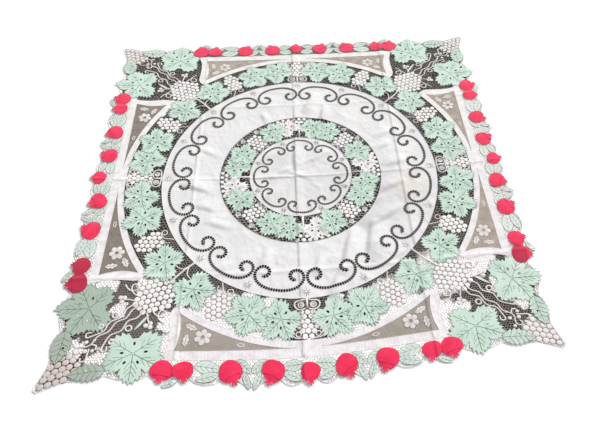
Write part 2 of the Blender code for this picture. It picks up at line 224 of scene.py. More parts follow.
# White leaf between them: radius, turn, size, lean; how fine its threads are
WHITE_LEAF = (205, -11, 37, -40)
WHITE_LEAF_THREADS = 0.6

# Vine leaves on each eighth of the outer field, and at a corner: x, y, size, turned
OUTER_LEAF_R = 485
OUTER_LEAF_SIZE = 52
OUTER_PAIR_ANGLES = (8.1, 18.3)
OUTER_PAIR_LEAN = (10, 3)
OUTER_SINGLE_ANGLE = 37.6
OUTER_SINGLE_LEAN = -60
CORNER_LEAF = (426, 560, 67.68, 0)

# Share of a leaf's size that hides the bars under it, and that thins them round it
LEAF_COVER = 0.52
LEAF_SURROUND = 1.12

# Leaflet beside a corner's tip: x, y, length, width, turned; its teeth on each side
CORNER_LEAFLET = (528, 603, 86, 50, 86)
LEAFLET_TEETH = 7

# Net let in between the round band and the straight strip: where its wide end starts and ends,
# and how far that end is hollowed
NET_END_ANGLE = 36
NET_END_X = 330
NET_END_DIP = 9

# Fruits of half a side: place, radius, lean of the crown; how far out the middle one of each is
FRUITS = ((0, 22, 0), (88, 26, 25), (190, 27, -25), (302, 24, -10), (352, 27, 10))
MIDDLE_FRUIT_OUT = {"far": 4, "right": 11, "near": 6, "left": 15}

# Leaves between the fruits of half a side: along, outwards, length, width, turned
GARLAND_LEAVES = (
    (40, -10, 48, 27, 84),
    (43, 13, 44, 20, 112),
    (122, -12, 46, 22, 50),
    (158, -12, 46, 22, -50),
    (126, 20, 44, 15, 202),
    (151, 20, 40, 15, 160),
    (246, -9, 62, 33, -82),
    (243, 15, 56, 22, -107),
    (331, 33, 40, 15, -118),
)


def polar(radius, angle):
    """Plan point at a radius, its angle counted clockwise from the far side."""
    turn = math.radians(angle)
    return (radius * math.sin(turn), radius * math.cos(turn))


def turned(points, angle):
    """Plan points turned clockwise about the middle of the cloth."""
    cosine = math.cos(math.radians(angle))
    sine = math.sin(math.radians(angle))
    return [(x * cosine + y * sine, y * cosine - x * sine) for x, y in points]


def placed(points, x, y, angle):
    """Points drawn about the origin, turned clockwise and moved to a plan point."""
    return [(x + px, y + py) for px, py in turned(points, angle)]


def in_quarter(points, quarter, flip=list):
    """Points drawn at the far side, flipped or not, on one quarter of the cloth."""
    return turned(flip(points), 90 * quarter)


def mirrored(points):
    """Plan points mirrored on the line x = 0."""
    return [(-x, y) for x, y in points]


def across_diagonal(points):
    """Plan points mirrored on the diagonal x = y."""
    return [(y, x) for x, y in points]


def circle(radius, count, x=0, y=0):
    """Ring of plan points."""
    ring = [polar(radius, 360 * step / count) for step in range(count)]
    return [(x + px, y + py) for px, py in ring]


def drawn_curve(points, steps=5, closed=False):
    """Smooth line through a few points."""
    if closed:
        points = points[-1:] + points + points[:2]
    else:
        points = points[:1] + points + points[-1:]
    line = []
    for before, start, end, after in zip(points, points[1:], points[2:], points[3:]):
        for step in range(steps):
            t = step / steps
            line.append(tuple(
                0.5 * (2 * b + (c - a) * t + (2 * a - 5 * b + 4 * c - d) * t * t
                       + (3 * b - a - 3 * c + d) * t * t * t)
                for a, b, c, d in zip(before, start, end, after)
            ))
    if not closed:
        line.append(points[-1])
    return line


def pull(x, y):
    """Where points of the square plan come to lie, still in millimetres."""
    u = x / TIP
    v = y / TIP
    middle = (1 - u * u) * (1 - v * v)
    along = CENTRE_PULL[0] * middle
    away = CENTRE_PULL[1] * middle
    for side_x, side_y, pull_x, pull_y in SIDE_PULLS:
        other = v if side_x else u
        weight = ((1 + side_x * u + side_y * v) / 2) ** 2 * (1 - other * other)
        along = along + pull_x * weight
        away = away + pull_y * weight
    for side_x, side_y, pull_x, pull_y in CORNER_PULLS:
        weight = ((1 + side_x * u) / 2) ** 2 * ((1 + side_y * v) / 2) ** 2
        along = along + pull_x * weight
        away = away + pull_y * weight
    nearness = np.maximum(0, (1 - v) / 2) ** FRONT_FADE
    away = away - FRONT_SAG * np.cos(FRONT_WAVE * u) * nearness
    return x + along + LAY_SHIFT[0], y + away + LAY_SHIFT[1]


def lift(x, y):
    """Height of the cloth's underside above the surface at plan points."""
    height = np.zeros_like(x)
    for axis, place, low_side, high_side, top, sharp, swell in FOLDS:
        across, along = (x, y) if axis == "x" else (y, x)
        beside = across - place
        away = np.where(beside < 0, -beside / low_side, beside / high_side)
        higher = 1 + swell * np.exp(-(along / FOLD_SWELL_REACH) ** 2)
        height += top * higher * np.maximum(0, 1 - away) ** sharp
    for x0, y0, x1, y1, steep, gentle, top in RIPPLES:
        length = math.hypot(x1 - x0, y1 - y0)
        dx = (x1 - x0) / length
        dy = (y1 - y0) / length
        along = ((x - x0) * dx + (y - y0) * dy) / length
        aside = (x - x0) * dy - (y - y0) * dx
        aside = np.where(aside > 0, aside / steep, aside / gentle)
        across = 0.5 + 0.5 * np.cos(math.pi * np.clip(aside, -1, 1))
        fade = np.sin(math.pi * np.clip(along, 0, 1)) ** RIPPLE_FADE
        height += top * across * fade
    return height


# Edges between flat faces that turn further than this stay sharp
SHARP_TURN = 55


class Piece:
    """Points and faces of one piece, drawn flat in millimetres, then laid as it lies."""

    def __init__(self):
        self.points = []
        self.faces = []
        self.flat_faces = []

    def add(self, points, faces, flat=False):
        """Take in points (x, y, height) and the faces on them."""
        first = len(self.points)
        self.points += points
        (self.flat_faces if flat else self.faces).extend(
            [tuple(first + index for index in face) for face in faces]
        )

    def lay(self, name, finish, slot=None, node=None):
        """Make the piece an object where it lies, with the node it replaces; its slot is not used."""
        drawn = np.array(self.points, dtype=float)
        x, y = pull(drawn[:, 0], drawn[:, 1])
        z = drawn[:, 2] + lift(drawn[:, 0], drawn[:, 1])
        data = bpy.data.meshes.new(name)
        faces = self.faces + self.flat_faces
        data.from_pydata((np.stack([x, y, z], axis=1) * MM).tolist(), [], faces)
        smooth = [True] * len(self.faces) + [False] * len(self.flat_faces)
        data.polygons.foreach_set("use_smooth", smooth)
        data.materials.append(finish)
        data.update()
        if self.flat_faces:
            data.set_sharp_from_angle(angle=math.radians(SHARP_TURN))
        piece = bpy.data.objects.new(name, data)
        bpy.context.scene.collection.objects.link(piece)
        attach(piece, "root")
        if node:
            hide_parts(node)
        return piece


def within(points, outlines):
    """Which of an array of plan points lie inside outlines but not in the openings in them."""
    inside = np.zeros(len(points), dtype=bool)
    x = points[:, 0]
    y = points[:, 1]
    for outline in outlines:
        for (x0, y0), (x1, y1) in zip(outline, outline[1:] + outline[:1]):
            if y0 == y1:
                continue
            beside = (y0 > y) != (y1 > y)
            inside ^= beside & (x < x0 + (y - y0) * (x1 - x0) / (y1 - y0))
    return inside


def area_within(outline):
    """Area inside an outline, in square millimetres."""
    double = sum(x0 * y1 - x1 * y0 for (x0, y0), (x1, y1) in zip(outline, outline[1:] + outline[:1]))
    return abs(double) / 2


# Room that the points inside a cloth leave along its edges, as a share of their spacing
EDGE_ROOM = 0.3


def woven_triangles(outlines, spacing):
    """Even triangles over a flat cloth: its outline first, then the openings in it."""
    corners = [point for outline in outlines for point in outline]
    threads = []
    first = 0
    for outline in outlines:
        count = len(outline)
        threads += [(first + k, first + (k + 1) % count) for k in range(count)]
        first += count
    edge = KDTree(2 * len(corners))
    for index, (start, end) in enumerate(threads):
        x, y = corners[start]
        edge.insert((x, y, 0), 2 * index)
        edge.insert(((x + corners[end][0]) / 2, (y + corners[end][1]) / 2, 0), 2 * index + 1)
    edge.balance()
    xs = [x for x, _ in corners]
    ys = [y for _, y in corners]
    grid = []
    row = 0
    y = min(ys) + spacing / 2
    while y < max(ys):
        x = min(xs) + spacing * (0.25 + 0.5 * (row % 2))
        while x < max(xs):
            grid.append((x, y))
            x += spacing
        y += spacing * ROW_PITCH
        row += 1
    for axis, place, low_side, high_side, *_ in FOLDS:
        across, along = (xs, ys) if axis == "x" else (ys, xs)
        if not min(across) < place < max(across):
            continue
        side = 0 if axis == "x" else 1
        grid = [point for point in grid if not -low_side - 1 < point[side] - place < high_side + 1]
        for offset in FOLD_ROWS:
            at = place + offset * (low_side if offset < 0 else high_side)
            for step in range(int((max(along) - min(along)) / spacing) + 1):
                on = min(along) + step * spacing
                grid.append((at, on) if axis == "x" else (on, at))
    if grid:
        keep = within(np.array(grid), outlines)
        grid = [point for point, inside in zip(grid, keep) if inside]
    grid = [point for point in grid if edge.find((*point, 0))[2] > EDGE_ROOM * spacing]
    start = [Vector(point) for point in corners + grid]
    points, _, faces, *_ = delaunay_2d_cdt(start, threads, [], 2, 1e-4)
    points = [(point.x, point.y) for point in points]
    faces = [tuple(face) for face in faces]
    middles = np.array([
        (sum(points[k][0] for k in face) / 3, sum(points[k][1] for k in face) / 3) for face in faces
    ])
    keep = within(middles, outlines)
    return points, [face for face, inside in zip(faces, keep) if inside]


def add_cloth(piece, outlines, spacing, base, thick, rise=None):
    """Thin closed sheet with its openings; rise gives its relief at a plan point."""
    points, faces = woven_triangles(outlines, spacing)
    relief = [rise(x, y) if rise else 0 for x, y in points]
    count = len(points)
    upper = [(x, y, base + thick + up) for (x, y), up in zip(points, relief)]
    lower = [(x, y, base + up) for (x, y), up in zip(points, relief)]
    wound = []
    for a, b, c in faces:
        turn = (points[b][0] - points[a][0]) * (points[c][1] - points[a][1])
        turn -= (points[c][0] - points[a][0]) * (points[b][1] - points[a][1])
        wound.append((a, b, c) if turn > 0 else (a, c, b))
    edges = {}
    for a, b, c in wound:
        for edge in ((a, b), (b, c), (c, a)):
            edges[edge] = True
    rim = [edge for edge in edges if (edge[1], edge[0]) not in edges]
    first = len(piece.points)
    piece.points += upper + lower
    piece.faces += [tuple(first + k for k in face) for face in wound]
    piece.faces += [tuple(first + count + k for k in reversed(face)) for face in wound]
    piece.flat_faces += [(first + b, first + a, first + count + a, first + count + b) for a, b in rim]


def add_cord(piece, line, radius, height, sides=4, closed=False, flat=1.0, capped=True):
    """Thread or cord along a plan line; flat squashes it, and capped closes its ends."""
    count = len(line)
    points = []
    for index, (x, y) in enumerate(line):
        if closed:
            before, after = line[index - 1], line[(index + 1) % count]
        else:
            before, after = line[max(index - 1, 0)], line[min(index + 1, count - 1)]
        dx = after[0] - before[0]
        dy = after[1] - before[1]
        length = math.hypot(dx, dy) or 1
        for side in range(sides):
            turn = 2 * math.pi * (side + 0.5) / sides
            aside = radius * math.cos(turn) / length
            points.append((x + dy * aside, y - dx * aside, height + radius * flat * math.sin(turn)))
    faces = []
    for index in range(count if closed else count - 1):
        here = index * sides
        there = (index + 1) % count * sides
        for side in range(sides):
            after = (side + 1) % sides
            faces.append((here + side, there + side, there + after, here + after))
    if capped and not closed:
        faces.append(tuple(range(sides)))
        faces.append(tuple(reversed(range((count - 1) * sides, count * sides))))
    piece.add(points, faces)


def ball_half(sides, rings):
    """Upper half of a ball with a closed underside: the form of one padded stitch."""
    bpy.ops.object.select_all(action="DESELECT")
    bpy.ops.mesh.primitive_uv_sphere_add(segments=sides, ring_count=rings, radius=1)
    ball = bpy.context.object
    bpy.ops.object.mode_set(mode="EDIT")
    bpy.ops.mesh.select_all(action="SELECT")
    bpy.ops.mesh.bisect(plane_co=(0, 0, 0), plane_no=(0, 0, 1), use_fill=True, clear_inner=True)
    bpy.ops.mesh.select_all(action="SELECT")
    bpy.ops.mesh.normals_make_consistent(inside=False)
    bpy.ops.object.mode_set(mode="OBJECT")
    points = [tuple(point.co) for point in ball.data.vertices]
    faces = [tuple(face.vertices) for face in ball.data.polygons]
    bpy.data.objects.remove(ball)
    # The cut leaves its points and faces in an order that changes from run to run
    order = sorted(range(len(points)), key=lambda k: [round(c, 4) for c in reversed(points[k])])
    rank = {k: place for place, k in enumerate(order)}
    sorted_faces = []
    for face in faces:
        ranks = tuple(rank[k] for k in face)
        lowest = ranks.index(min(ranks))
        sorted_faces.append(ranks[lowest:] + ranks[:lowest])
    return [points[k] for k in order], sorted(sorted_faces)


PADDED_STITCH = ball_half(12, 6)
# A grape: its underside and its height, then the room inside its edge cord, that cord's radius
# and how far above the underside it lies
GRAPE_BASE = 0.5
GRAPE_TOP = 0.78
GRAPE_ROOM = 0.25
GRAPE_CORD = 0.36
GRAPE_CORD_UP = 0.2


def add_padding(piece, x, y, radius, base, top):
    """Padded satin stitch over a round place."""
    points, faces = PADDED_STITCH
    piece.add([(x + px * radius, y + py * radius, base + pz * top) for px, py, pz in points], faces)


def add_grape(piece, cords, x, y, radius):
    """One padded grape and the fine cord round it."""
    add_padding(piece, x, y, radius, GRAPE_BASE, GRAPE_TOP)
    edge = circle(radius + GRAPE_ROOM, 12, x, y)
    add_cord(cords, edge, GRAPE_CORD, GRAPE_BASE + GRAPE_CORD_UP, sides=3, closed=True)


def bunch(x, y, angle, rows, pitch, row_pitch):
    """Places of the grapes of one bunch, row by row away from its start."""
    places = []
    for row, count in enumerate(rows):
        for number in range(count):
            places.append(((number - (count - 1) / 2) * pitch, row * row_pitch))
    return placed(places, x, y, angle)


def toothed_side(size, tip_turn, tip_reach, cleft_turn, cleft_reach):
    """Teeth of a lobe from its tip to the cleft beside it; they point towards the tip."""
    side = []
    teeth = SMALL_LEAF_TEETH if size < SMALL_LEAF else LEAF_TEETH
    notch = (teeth[1] - teeth[0]) / 2
    depth = TOOTH_DEPTH / size
    at_cleft = tip_reach * (1 - SIDE_ROUND - SIDE_SLOPE)
    for tooth in teeth:
        for share, grown in ((tooth - notch, 1 - TOOTH_IN * depth), (tooth, 1 + TOOTH_OUT * depth)):
            reach = tip_reach * (1 - SIDE_ROUND * share ** SIDE_ROUND_POWER - SIDE_SLOPE * share)
            reach -= (at_cleft - cleft_reach) * share ** CLEFT_POWER
            side.append((tip_turn + (cleft_turn - tip_turn) * share, reach * grown))
    return side


def half_vine_leaf(size):
    """Edge of half a leaf from the tip of its middle lobe to the stem: turn and reach."""
    edge = []
    for tip_turn, tip_reach, cleft_turn, cleft_reach in LEAF_LOBES:
        if edge:
            edge += toothed_side(size, tip_turn, tip_reach, *edge[-1])[::-1]
        edge.append((tip_turn, tip_reach))
        edge += toothed_side(size, tip_turn, tip_reach, cleft_turn, cleft_reach)
        edge.append((cleft_turn, cleft_reach))
    return edge


def leaf_veins(size):
    """Main veins of a vine leaf, each with its side veins."""
    veins = []
    for turn, reach in VEIN_TURNS:
        bend = chance.uniform(*VEIN_BEND)
        main = []
        for share in VEIN_POINTS:
            main.append(polar(size * reach * share, turn + bend * (1 - share)))
        veins.append(main)
        for share, length in MIDDLE_TWIGS if turn == 0 else SIDE_TWIGS:
            start = polar(size * reach * share, turn + bend * (1 - share))
            for side in (-1, 1):
                lean = turn + side * chance.uniform(*TWIG_LEAN)
                ahead = polar(size * length * 0.5, lean)
                tip = polar(size * length, lean - side * TWIG_CURL)
                veins.append([start, (start[0] + ahead[0], start[1] + ahead[1]),
                              (start[0] + tip[0], start[1] + tip[1])])
    return veins


def vine_leaf(x, y, size, angle):
    """Toothed outline, eyelets and veins of one vine leaf; angle is where its middle lobe points."""
    outline = []
    uneven = [chance.uniform(*LOBE_UNEVEN) for _ in LEAF_LOBES]
    edge = half_vine_leaf(size)
    for side, half in ((1, edge), (-1, edge[:0:-1])):
        for turn, reach in half:
            # The lobes are about 64 degrees apart
            lobe = min(int((turn + 32) / 64), 2)
            grown = 1 + (uneven[lobe] - 1) * side
            far = size * reach * grown * chance.uniform(*EDGE_UNEVEN)
            outline.append(polar(far, side * turn + chance.uniform(*EDGE_TURN)))
    veins = leaf_veins(size)
    eyelets = []
    # Eyelets grow less than their leaf does
    scale = 0.8 + size / 240
    for turn, reach in EYELET_PLACES:
        at = turn + chance.uniform(*EYELET_TURN)
        hole = [(px * EYELET_HALF[0] * scale, py * EYELET_HALF[1] * scale) for px, py in circle(1, 8)]
        out = reach + chance.uniform(*EYELET_OUT)
        eyelets.append(placed(hole, *polar(size * out, at), at))
    back_x, back_y = polar(size * VEINS_MEET, angle)
    drawn = [[placed(points, x - back_x, y - back_y, angle) for points in shapes]
             for shapes in ([outline], eyelets, veins)]
    return drawn[0][0], drawn[1], drawn[2]


def add_vine_leaf(piece, cords, leaf, base, fine=1.0):
    """Vine leaf as a thin sheet, with its veins and corded edge on it; fine thins its threads."""
    outline, eyelets, veins = leaf
    add_cloth(piece, [outline] + eyelets, SPACING["leaf"], base, LEAF_THICK)
    top = base + LEAF_THICK
    add_cord(cords, outline, LEAF_EDGE_CORD * fine, top - LEAF_EDGE_DOWN, sides=3, closed=True)
    for eyelet in eyelets:
        add_cord(cords, eyelet, EYELET_CORD * fine, top, sides=3, closed=True)
    for vein in veins:
        radius = VEIN_CORD if len(vein) == 4 else TWIG_CORD
        add_cord(cords, drawn_curve(vein, 2), radius * fine, top + VEIN_UP, sides=3)


# Places where the ground under the openings is pale: x, y, radius, where they lie
PALE_PLACES = (
    (-245, -460, 84), (230, -455, 80), (-150, -525, 60), (110, -530, 50), (-78, -546, 22),
    (-118, -450, 26), (190, -425, 30),
    (-425, -362, 32), (-530, -350, 34), (-486, -425, 24), (-560, -430, 48), (-352, -470, 38),
    (-350, -532, 36), (-505, -570, 50), (-576, -524, 28), (-552, -594, 26),
    (365, -378, 80), (455, -362, 48), (500, -350, 40), (350, -502, 54), (404, -490, 30),
    (437, -560, 58), (495, -594, 40), (526, -582, 24), (545, -428, 52), (574, -482, 26),
    (592, -566, 48), (-94, -436, 24), (-150, -420, 26), (78, -436, 22), (128, -428, 26),
    (-482, 318, 46), (-434, 336, 24),
)


# Colours and finishes


def colour(code):
    """Linear colour from a web colour code."""
    parts = [int(code[k:k + 2], 16) / 255 for k in (1, 3, 5)]
    return tuple(((c + 0.055) / 1.055) ** 2.4 if c > 0.04045 else c / 12.92 for c in parts) + (1,)


class Reading:
    """A shader value that can be added and multiplied like a number."""

    def __init__(self, finish, socket):
        self.finish = finish
        self.socket = socket

    def maths(self, operation, *values):
        """Result of one Math node on these values."""
        return self.finish.node("ShaderNodeMath", {"operation": operation}, dict(enumerate(values)))

    def __add__(self, other):
        return self.maths("ADD", self, other)

    __radd__ = __add__

    def __sub__(self, other):
        return self.maths("SUBTRACT", self, other)

    def __rsub__(self, other):
        return self.maths("SUBTRACT", other, self)

    def __mul__(self, other):
        return self.maths("MULTIPLY", self, other)

    __rmul__ = __mul__

    def __pow__(self, other):
        return self.maths("POWER", self, other)

    def sine(self):
        return self.maths("SINE", self)

    def size(self):
        return self.maths("ABSOLUTE", self)

    def above(self, other):
        return self.maths("MAXIMUM", self, other)

    def below(self, other):
        return self.maths("MINIMUM", self, other)

    def step(self, low, high):
        """0 below low and 1 above high, smooth between them."""
        return self.finish.node(
            "ShaderNodeMapRange", {"interpolation_type": "SMOOTHSTEP"},
            {0: self, 1: low, 2: high, 3: 0, 4: 1},
        )


class Finish:
    """One finish of the cloth, built from shader nodes."""

    def __init__(self, name):
        self.material = bpy.data.materials.new(name)
        self.material.use_nodes = True
        self.nodes = self.material.node_tree.nodes
        self.links = self.material.node_tree.links
        self.shader = self.nodes["Principled BSDF"]
        self.place = self.node("ShaderNodeTexCoord", {}, {}, "Object")
        split = self.node("ShaderNodeSeparateXYZ", {}, {0: self.place}).socket.node
        self.x, self.y, self.z = [Reading(self, out) for out in split.outputs]

    def node(self, kind, settings, inputs, output=0):
        """Any node: its settings first, then values or links on its sockets."""
        made = self.nodes.new(kind)
        for key, value in settings.items():
            setattr(made, key, value)
        for key, value in inputs.items():
            self.fill(made.inputs[key], value)
        return Reading(self, made.outputs[output])

    def fill(self, socket, value):
        """Put a value or a link on a socket."""
        if isinstance(value, Reading):
            self.links.new(value.socket, socket)
        else:
            socket.default_value = value

    def mottle(self, scale, detail=3, roughness=0.5, stretch=None):
        """Noise with this many cells a metre; stretch draws it out along one axis."""
        place = self.place
        if stretch:
            place = self.node("ShaderNodeMapping", {}, {"Vector": place, "Scale": stretch})
        return self.node(
            "ShaderNodeTexNoise", {},
            {"Vector": place, "Scale": scale, "Detail": detail, "Roughness": roughness},
        )

    def mixed(self, share, first, second):
        """One colour turning into another; either may be a web colour code."""
        first, second = [colour(tone) if isinstance(tone, str) else tone for tone in (first, second)]
        return self.node(
            "ShaderNodeMix", {"data_type": "RGBA"}, {"Factor": share, 6: first, 7: second}, 2
        )

    def twist(self, pitch):
        """Ridges of a twisted thread, from -1 to 1."""
        return ((self.x + self.y + self.z) * (math.pi / (pitch * MM))).sine()

    def shaded(self, tone, amount):
        """Colour made lighter or darker by an amount that may vary."""
        return self.node(
            "ShaderNodeVectorMath", {"operation": "SCALE"}, {0: tone, "Scale": amount}
        )

    def weave(self, pitch):
        """Height of a plain weave, from 0 to 1: warp and weft pass over each other."""
        turn = math.pi / (pitch * MM)
        wander = (self.mottle(300, 1) - 0.5) * 0.5
        warp = (self.x * turn + wander).sine()
        weft = (self.y * turn + wander).sine()
        over = warp * weft
        along = (1 - warp * warp) * (over * 0.5 + 0.5)
        across = (1 - weft * weft) * (0.5 - over * 0.5)
        return along.above(across)

    def slubs(self):
        """Thicker threads here and there, both ways, from 0 to 1."""
        along = self.mottle(1, 2, 0.6, (1500, 55, 1))
        across = self.mottle(1, 2, 0.6, (55, 1500, 1))
        return along.above(across)

    def near(self, x, y, radius, soft=0.5, ragged=0):
        """1 round a laid point in millimetres, fading out to 0, with a ragged edge if given."""
        dx = self.x - x * MM
        dy = self.y - y * MM
        away = (dx * dx + dy * dy) ** 0.5 + ragged
        return 1 - away.step(radius * MM * (1 - soft), radius * MM)

    def finish(self, tone, roughness, height=None, depth=0.3, sheen=0.25):
        """Set the shader: colour, roughness, bump from a height times a depth in mm, and sheen."""
        self.fill(self.shader.inputs["Base Color"], tone)
        self.fill(self.shader.inputs["Roughness"], roughness)
        self.shader.inputs["Sheen Weight"].default_value = sheen
        self.shader.inputs["Sheen Roughness"].default_value = 0.5
        self.shader.inputs["Specular IOR Level"].default_value = 0.25
        if height is not None:
            bump = self.node("ShaderNodeBump", {}, {"Distance": depth * MM, "Height": height})
            self.fill(self.shader.inputs["Normal"], bump)
        return self.material


def white_linen_finish():
    """Plain-woven white linen with its faint stain, the lilac tint of the near side, and painted shade at
    the right of the ring and over the round centre.
    """
    cloth = Finish("white_linen_cloth")
    weave = cloth.weave(0.85)
    slubs = cloth.slubs()
    soft = cloth.mottle(13, 3)
    crumple = cloth.mottle(42, 4, 0.55)
    tone = cloth.mixed(soft.step(0.35, 0.7), "#eeeceb", "#e4e4e5")
    lilac = (0.05 - cloth.y).step(0.25, 0.65) * 0.8
    tone = cloth.mixed(lilac, tone, "#eae5e9")
    # Painted shade: darker at the right of the ring and over the round centre
    tone = cloth.shaded(tone, 1 - cloth.near(250, -110, 210, 0.9) * 0.14)
    tone = cloth.shaded(tone, 1 - cloth.near(-3, -10, 158, 0.2) * 0.06)
    stain = cloth.near(338, -60, 95, 0.8) * cloth.mottle(30, 4, 0.6).step(0.3, 0.7)
    tone = cloth.mixed(stain * 0.55, tone, "#e8ddc8")
    tone = cloth.shaded(tone, weave * 0.05 + slubs * 0.06 + 0.925)
    crease = 1 - ((cloth.mottle(13, 2, 0.5) - 0.5) * 7).size().below(1)
    fine_crease = 1 - ((cloth.mottle(34, 2, 0.5, (1, 0.6, 1)) - 0.5) * 6).size().below(1)
    height = weave * 0.2 + slubs * 0.2 + crumple * 1.7 + soft * 3.2 + crease * 2.0 + fine_crease * 0.7
    return cloth.finish(tone, weave * -0.08 + 0.86, height, 0.5)


def gathered_linen_finish(name, along):
    """White linen of a frame, drawn up in fine gathers across the strip."""
    cloth = Finish(name)
    place = cloth.x if along == "x" else cloth.y
    wander = cloth.mottle(24, 3) * 16
    gather = (place * (2 * math.pi / (9.5 * MM)) + wander).sine() * 0.5 + 0.5
    weave = cloth.weave(0.85)
    uneven = cloth.mottle(48, 3)
    far_tone = cloth.mixed(uneven.step(0.35, 0.68), "#f8f5f2", "#ece8e4")
    tone = cloth.mixed(uneven.step(0.35, 0.68), "#f6f1f2", "#e9e2e5")
    tone = cloth.mixed(cloth.y.step(-0.15, 0.3), tone, far_tone)
    tone = cloth.shaded(tone, gather * 0.015 + weave * 0.04 + 0.94)
    height = gather * 0.3 + uneven * 3.2 + weave * 0.2
    return cloth.finish(tone, 0.86, height, 0.5)


def white_thread_finish():
    """White embroidery thread, twisted, greyer in patches where hands have touched it."""
    thread = Finish("white_thread")
    twist = thread.twist(0.9)
    patches = thread.mottle(24, 3)
    tone = thread.mixed(patches.step(0.35, 0.7), "#f3efec", "#e4dcd8")
    near_side = (0 - thread.y).step(0.3, 0.6) * 0.6
    tone = thread.mixed(near_side, tone, "#ebe2e4")
    tone = thread.shaded(tone, twist * 0.05 + 0.94)
    return thread.finish(tone, 0.7, twist * 0.3 + patches, 0.3, sheen=0.15)


def pale_ground(finish):
    """1 where the ground under the openings is pale, 0 where it is dark."""
    ragged = (finish.mottle(55, 2, 0.6) - 0.5) * 0.05
    pale = None
    for x, y, radius in PALE_PLACES:
        spot = finish.near(x, y, radius, 0.3, ragged)
        pale = spot if pale is None else pale.above(spot)
    sides = finish.x.size().step(0.556, 0.568) * (1 - finish.y.size().step(0.37, 0.40))
    front = (0 - finish.y).step(0.545, 0.565) * (1 - finish.x.size().step(0.39, 0.42))
    far = finish.y.step(0.560, 0.572) * (1 - finish.x.size().step(0.37, 0.40))
    return pale.above(sides * 0.85).above(front).above(far * 0.2)


def bar_thread_finish():
    """Thread of the bars, white where they lie over pale ground and dimmer over dark, with painted shade
    at the near left corner.
    """
    thread = Finish("bar_thread_white")
    twist = thread.twist(0.9)
    tone = thread.mixed(pale_ground(thread), "#bdb4ad", "#d3cac7")
    tone = thread.mixed(thread.y.step(-0.3, 0.1) * 0.7, tone, "#d8d0c8")
    tone = thread.mixed(thread.near(0, -10, 262, 0.03), tone, "#efe9e3")
    # Painted shade darkens the bars at the near left corner
    near_left_shade = thread.near(-530, -500, 190, 0.45)
    tone = thread.mixed(near_left_shade * 0.9, tone, "#a99e97")
    tone = thread.shaded(tone, twist * 0.05 + thread.mottle(60, 2) * 0.3 + 0.8)
    return thread.finish(tone, 0.75, twist, 0.2, sheen=0.1)


def grape_finish():
    """Satin stitch of the grapes: white, and mauve grey in the outer bunches on the left, where that grey
    is painted shade.
    """
    satin = Finish("grape_satin_stitch")
    stitches = (satin.x * (math.pi / (0.55 * MM)) + satin.mottle(200, 1) * 2).sine()
    patches = satin.mottle(60, 2)
    tone = satin.mixed(patches.step(0.35, 0.65), "#fffdfc", "#f9f4f2")
    near_side = (0 - satin.y).step(0.25, 0.5) * 0.8
    tone = satin.mixed(near_side, tone, "#fbf3f4")
    outer = (satin.x.size() + satin.y.size()).step(1.06, 1.16)
    left = (0.1 - satin.x).step(0, 0.2)
    # Painted shade turns the outer bunches on the left mauve grey, paler again towards the far side
    tone = satin.mixed(outer * left, tone, "#d9ccc8")
    tone = satin.mixed(outer * left * satin.y.step(0.1, 0.3), tone, "#efe5e1")
    tone = satin.mixed(outer * (1 - left), tone, "#efe6e4")
    tone = satin.shaded(tone, stitches * 0.03 + 0.95)
    return satin.finish(tone, 0.55, stitches * 0.3 + patches, 0.25, sheen=0.2)


def green_linen_finish(name, fresh, dull):
    """Green linen of the leaves: painted shade dulls it at the near left corner, and it is paler along the
    right side.
    """
    cloth = Finish(name)
    weave = cloth.weave(0.7)
    slubs = cloth.slubs()
    patches = cloth.mottle(22, 3)
    tone = cloth.mixed(patches.step(0.3, 0.75), *fresh)
    # Painted shade dulls the leaves at the near left corner
    corner = (0 - cloth.x).step(0.47, 0.52) * (0 - cloth.y).step(0.27, 0.36)
    tone = cloth.mixed(corner * 0.95, tone, dull)
    right_side = cloth.x.step(0.55, 0.60) * (1 - cloth.y.size().step(0.37, 0.40))
    tone = cloth.mixed(right_side * 0.75, tone, "#eef1ea")
    tone = cloth.shaded(tone, weave * 0.10 + slubs * 0.10 + cloth.y.step(-0.1, 0.5) * 0.04 + 0.88)
    height = weave * 0.3 + slubs * 0.25 + cloth.mottle(70, 3) * 1.2
    return cloth.finish(tone, weave * -0.08 + 0.84, height, 0.4)


def red_linen_finish():
    """Red linen of the fruits, deeper at the near ends of the left and the right side; on the left that is
    painted shade.
    """
    cloth = Finish("red_linen_cloth")
    weave = cloth.weave(0.7)
    slubs = cloth.slubs()
    patches = cloth.mottle(35, 3)
    tone = cloth.mixed(patches.step(0.3, 0.7), "#fd2f60", "#ee224f")
    # Painted shade deepens the red at the near end of the left side; it is also deeper at the near end of
    # the right side
    deep = cloth.near(-590, -325, 85, 0.3).above(cloth.near(585, -345, 48, 0.3) * 0.8)
    tone = cloth.mixed(deep, tone, "#c01a42")
    tone = cloth.shaded(tone, weave * 0.14 + slubs * 0.12 + 0.84)
    height = weave * 0.3 + slubs * 0.3 + cloth.mottle(60, 3) * 2.2
    return cloth.finish(tone, weave * -0.08 + 0.8, height, 0.5, sheen=0.3)


def net_finish():
    """Fine taupe net: a grid of threads with small open holes, and painted shade on its left side."""
    net = Finish("taupe_net_threads")
    turn = math.pi / (2.1 * MM)
    wander = (net.mottle(120, 2) - 0.5) * 1.6
    warp = ((net.x + net.y) * turn + wander).sine().size()
    weft = ((net.x - net.y) * turn - wander).sine().size()
    hole = warp.below(weft).step(0.38, 0.62)
    patches = net.mottle(40, 3)
    tone = net.mixed(patches.step(0.3, 0.7), "#dccfc3", "#c6b9ac")
    tone = net.mixed(hole * 0.75, tone, "#9d8f81")
    near_side = (0 - net.y).step(0.3, 0.5) * 0.45
    tone = net.mixed(near_side, tone, "#aaa39b")
    # Painted shade darkens the net on the left side
    tone = net.shaded(tone, 1 - (0 - net.x).step(0.38, 0.48) * 0.40)
    net.fill(net.shader.inputs["Alpha"], 1 - hole * 0.45)
    return net.finish(tone, 0.85, (1 - hole) + patches * 0.5, 0.4, sheen=0.1)


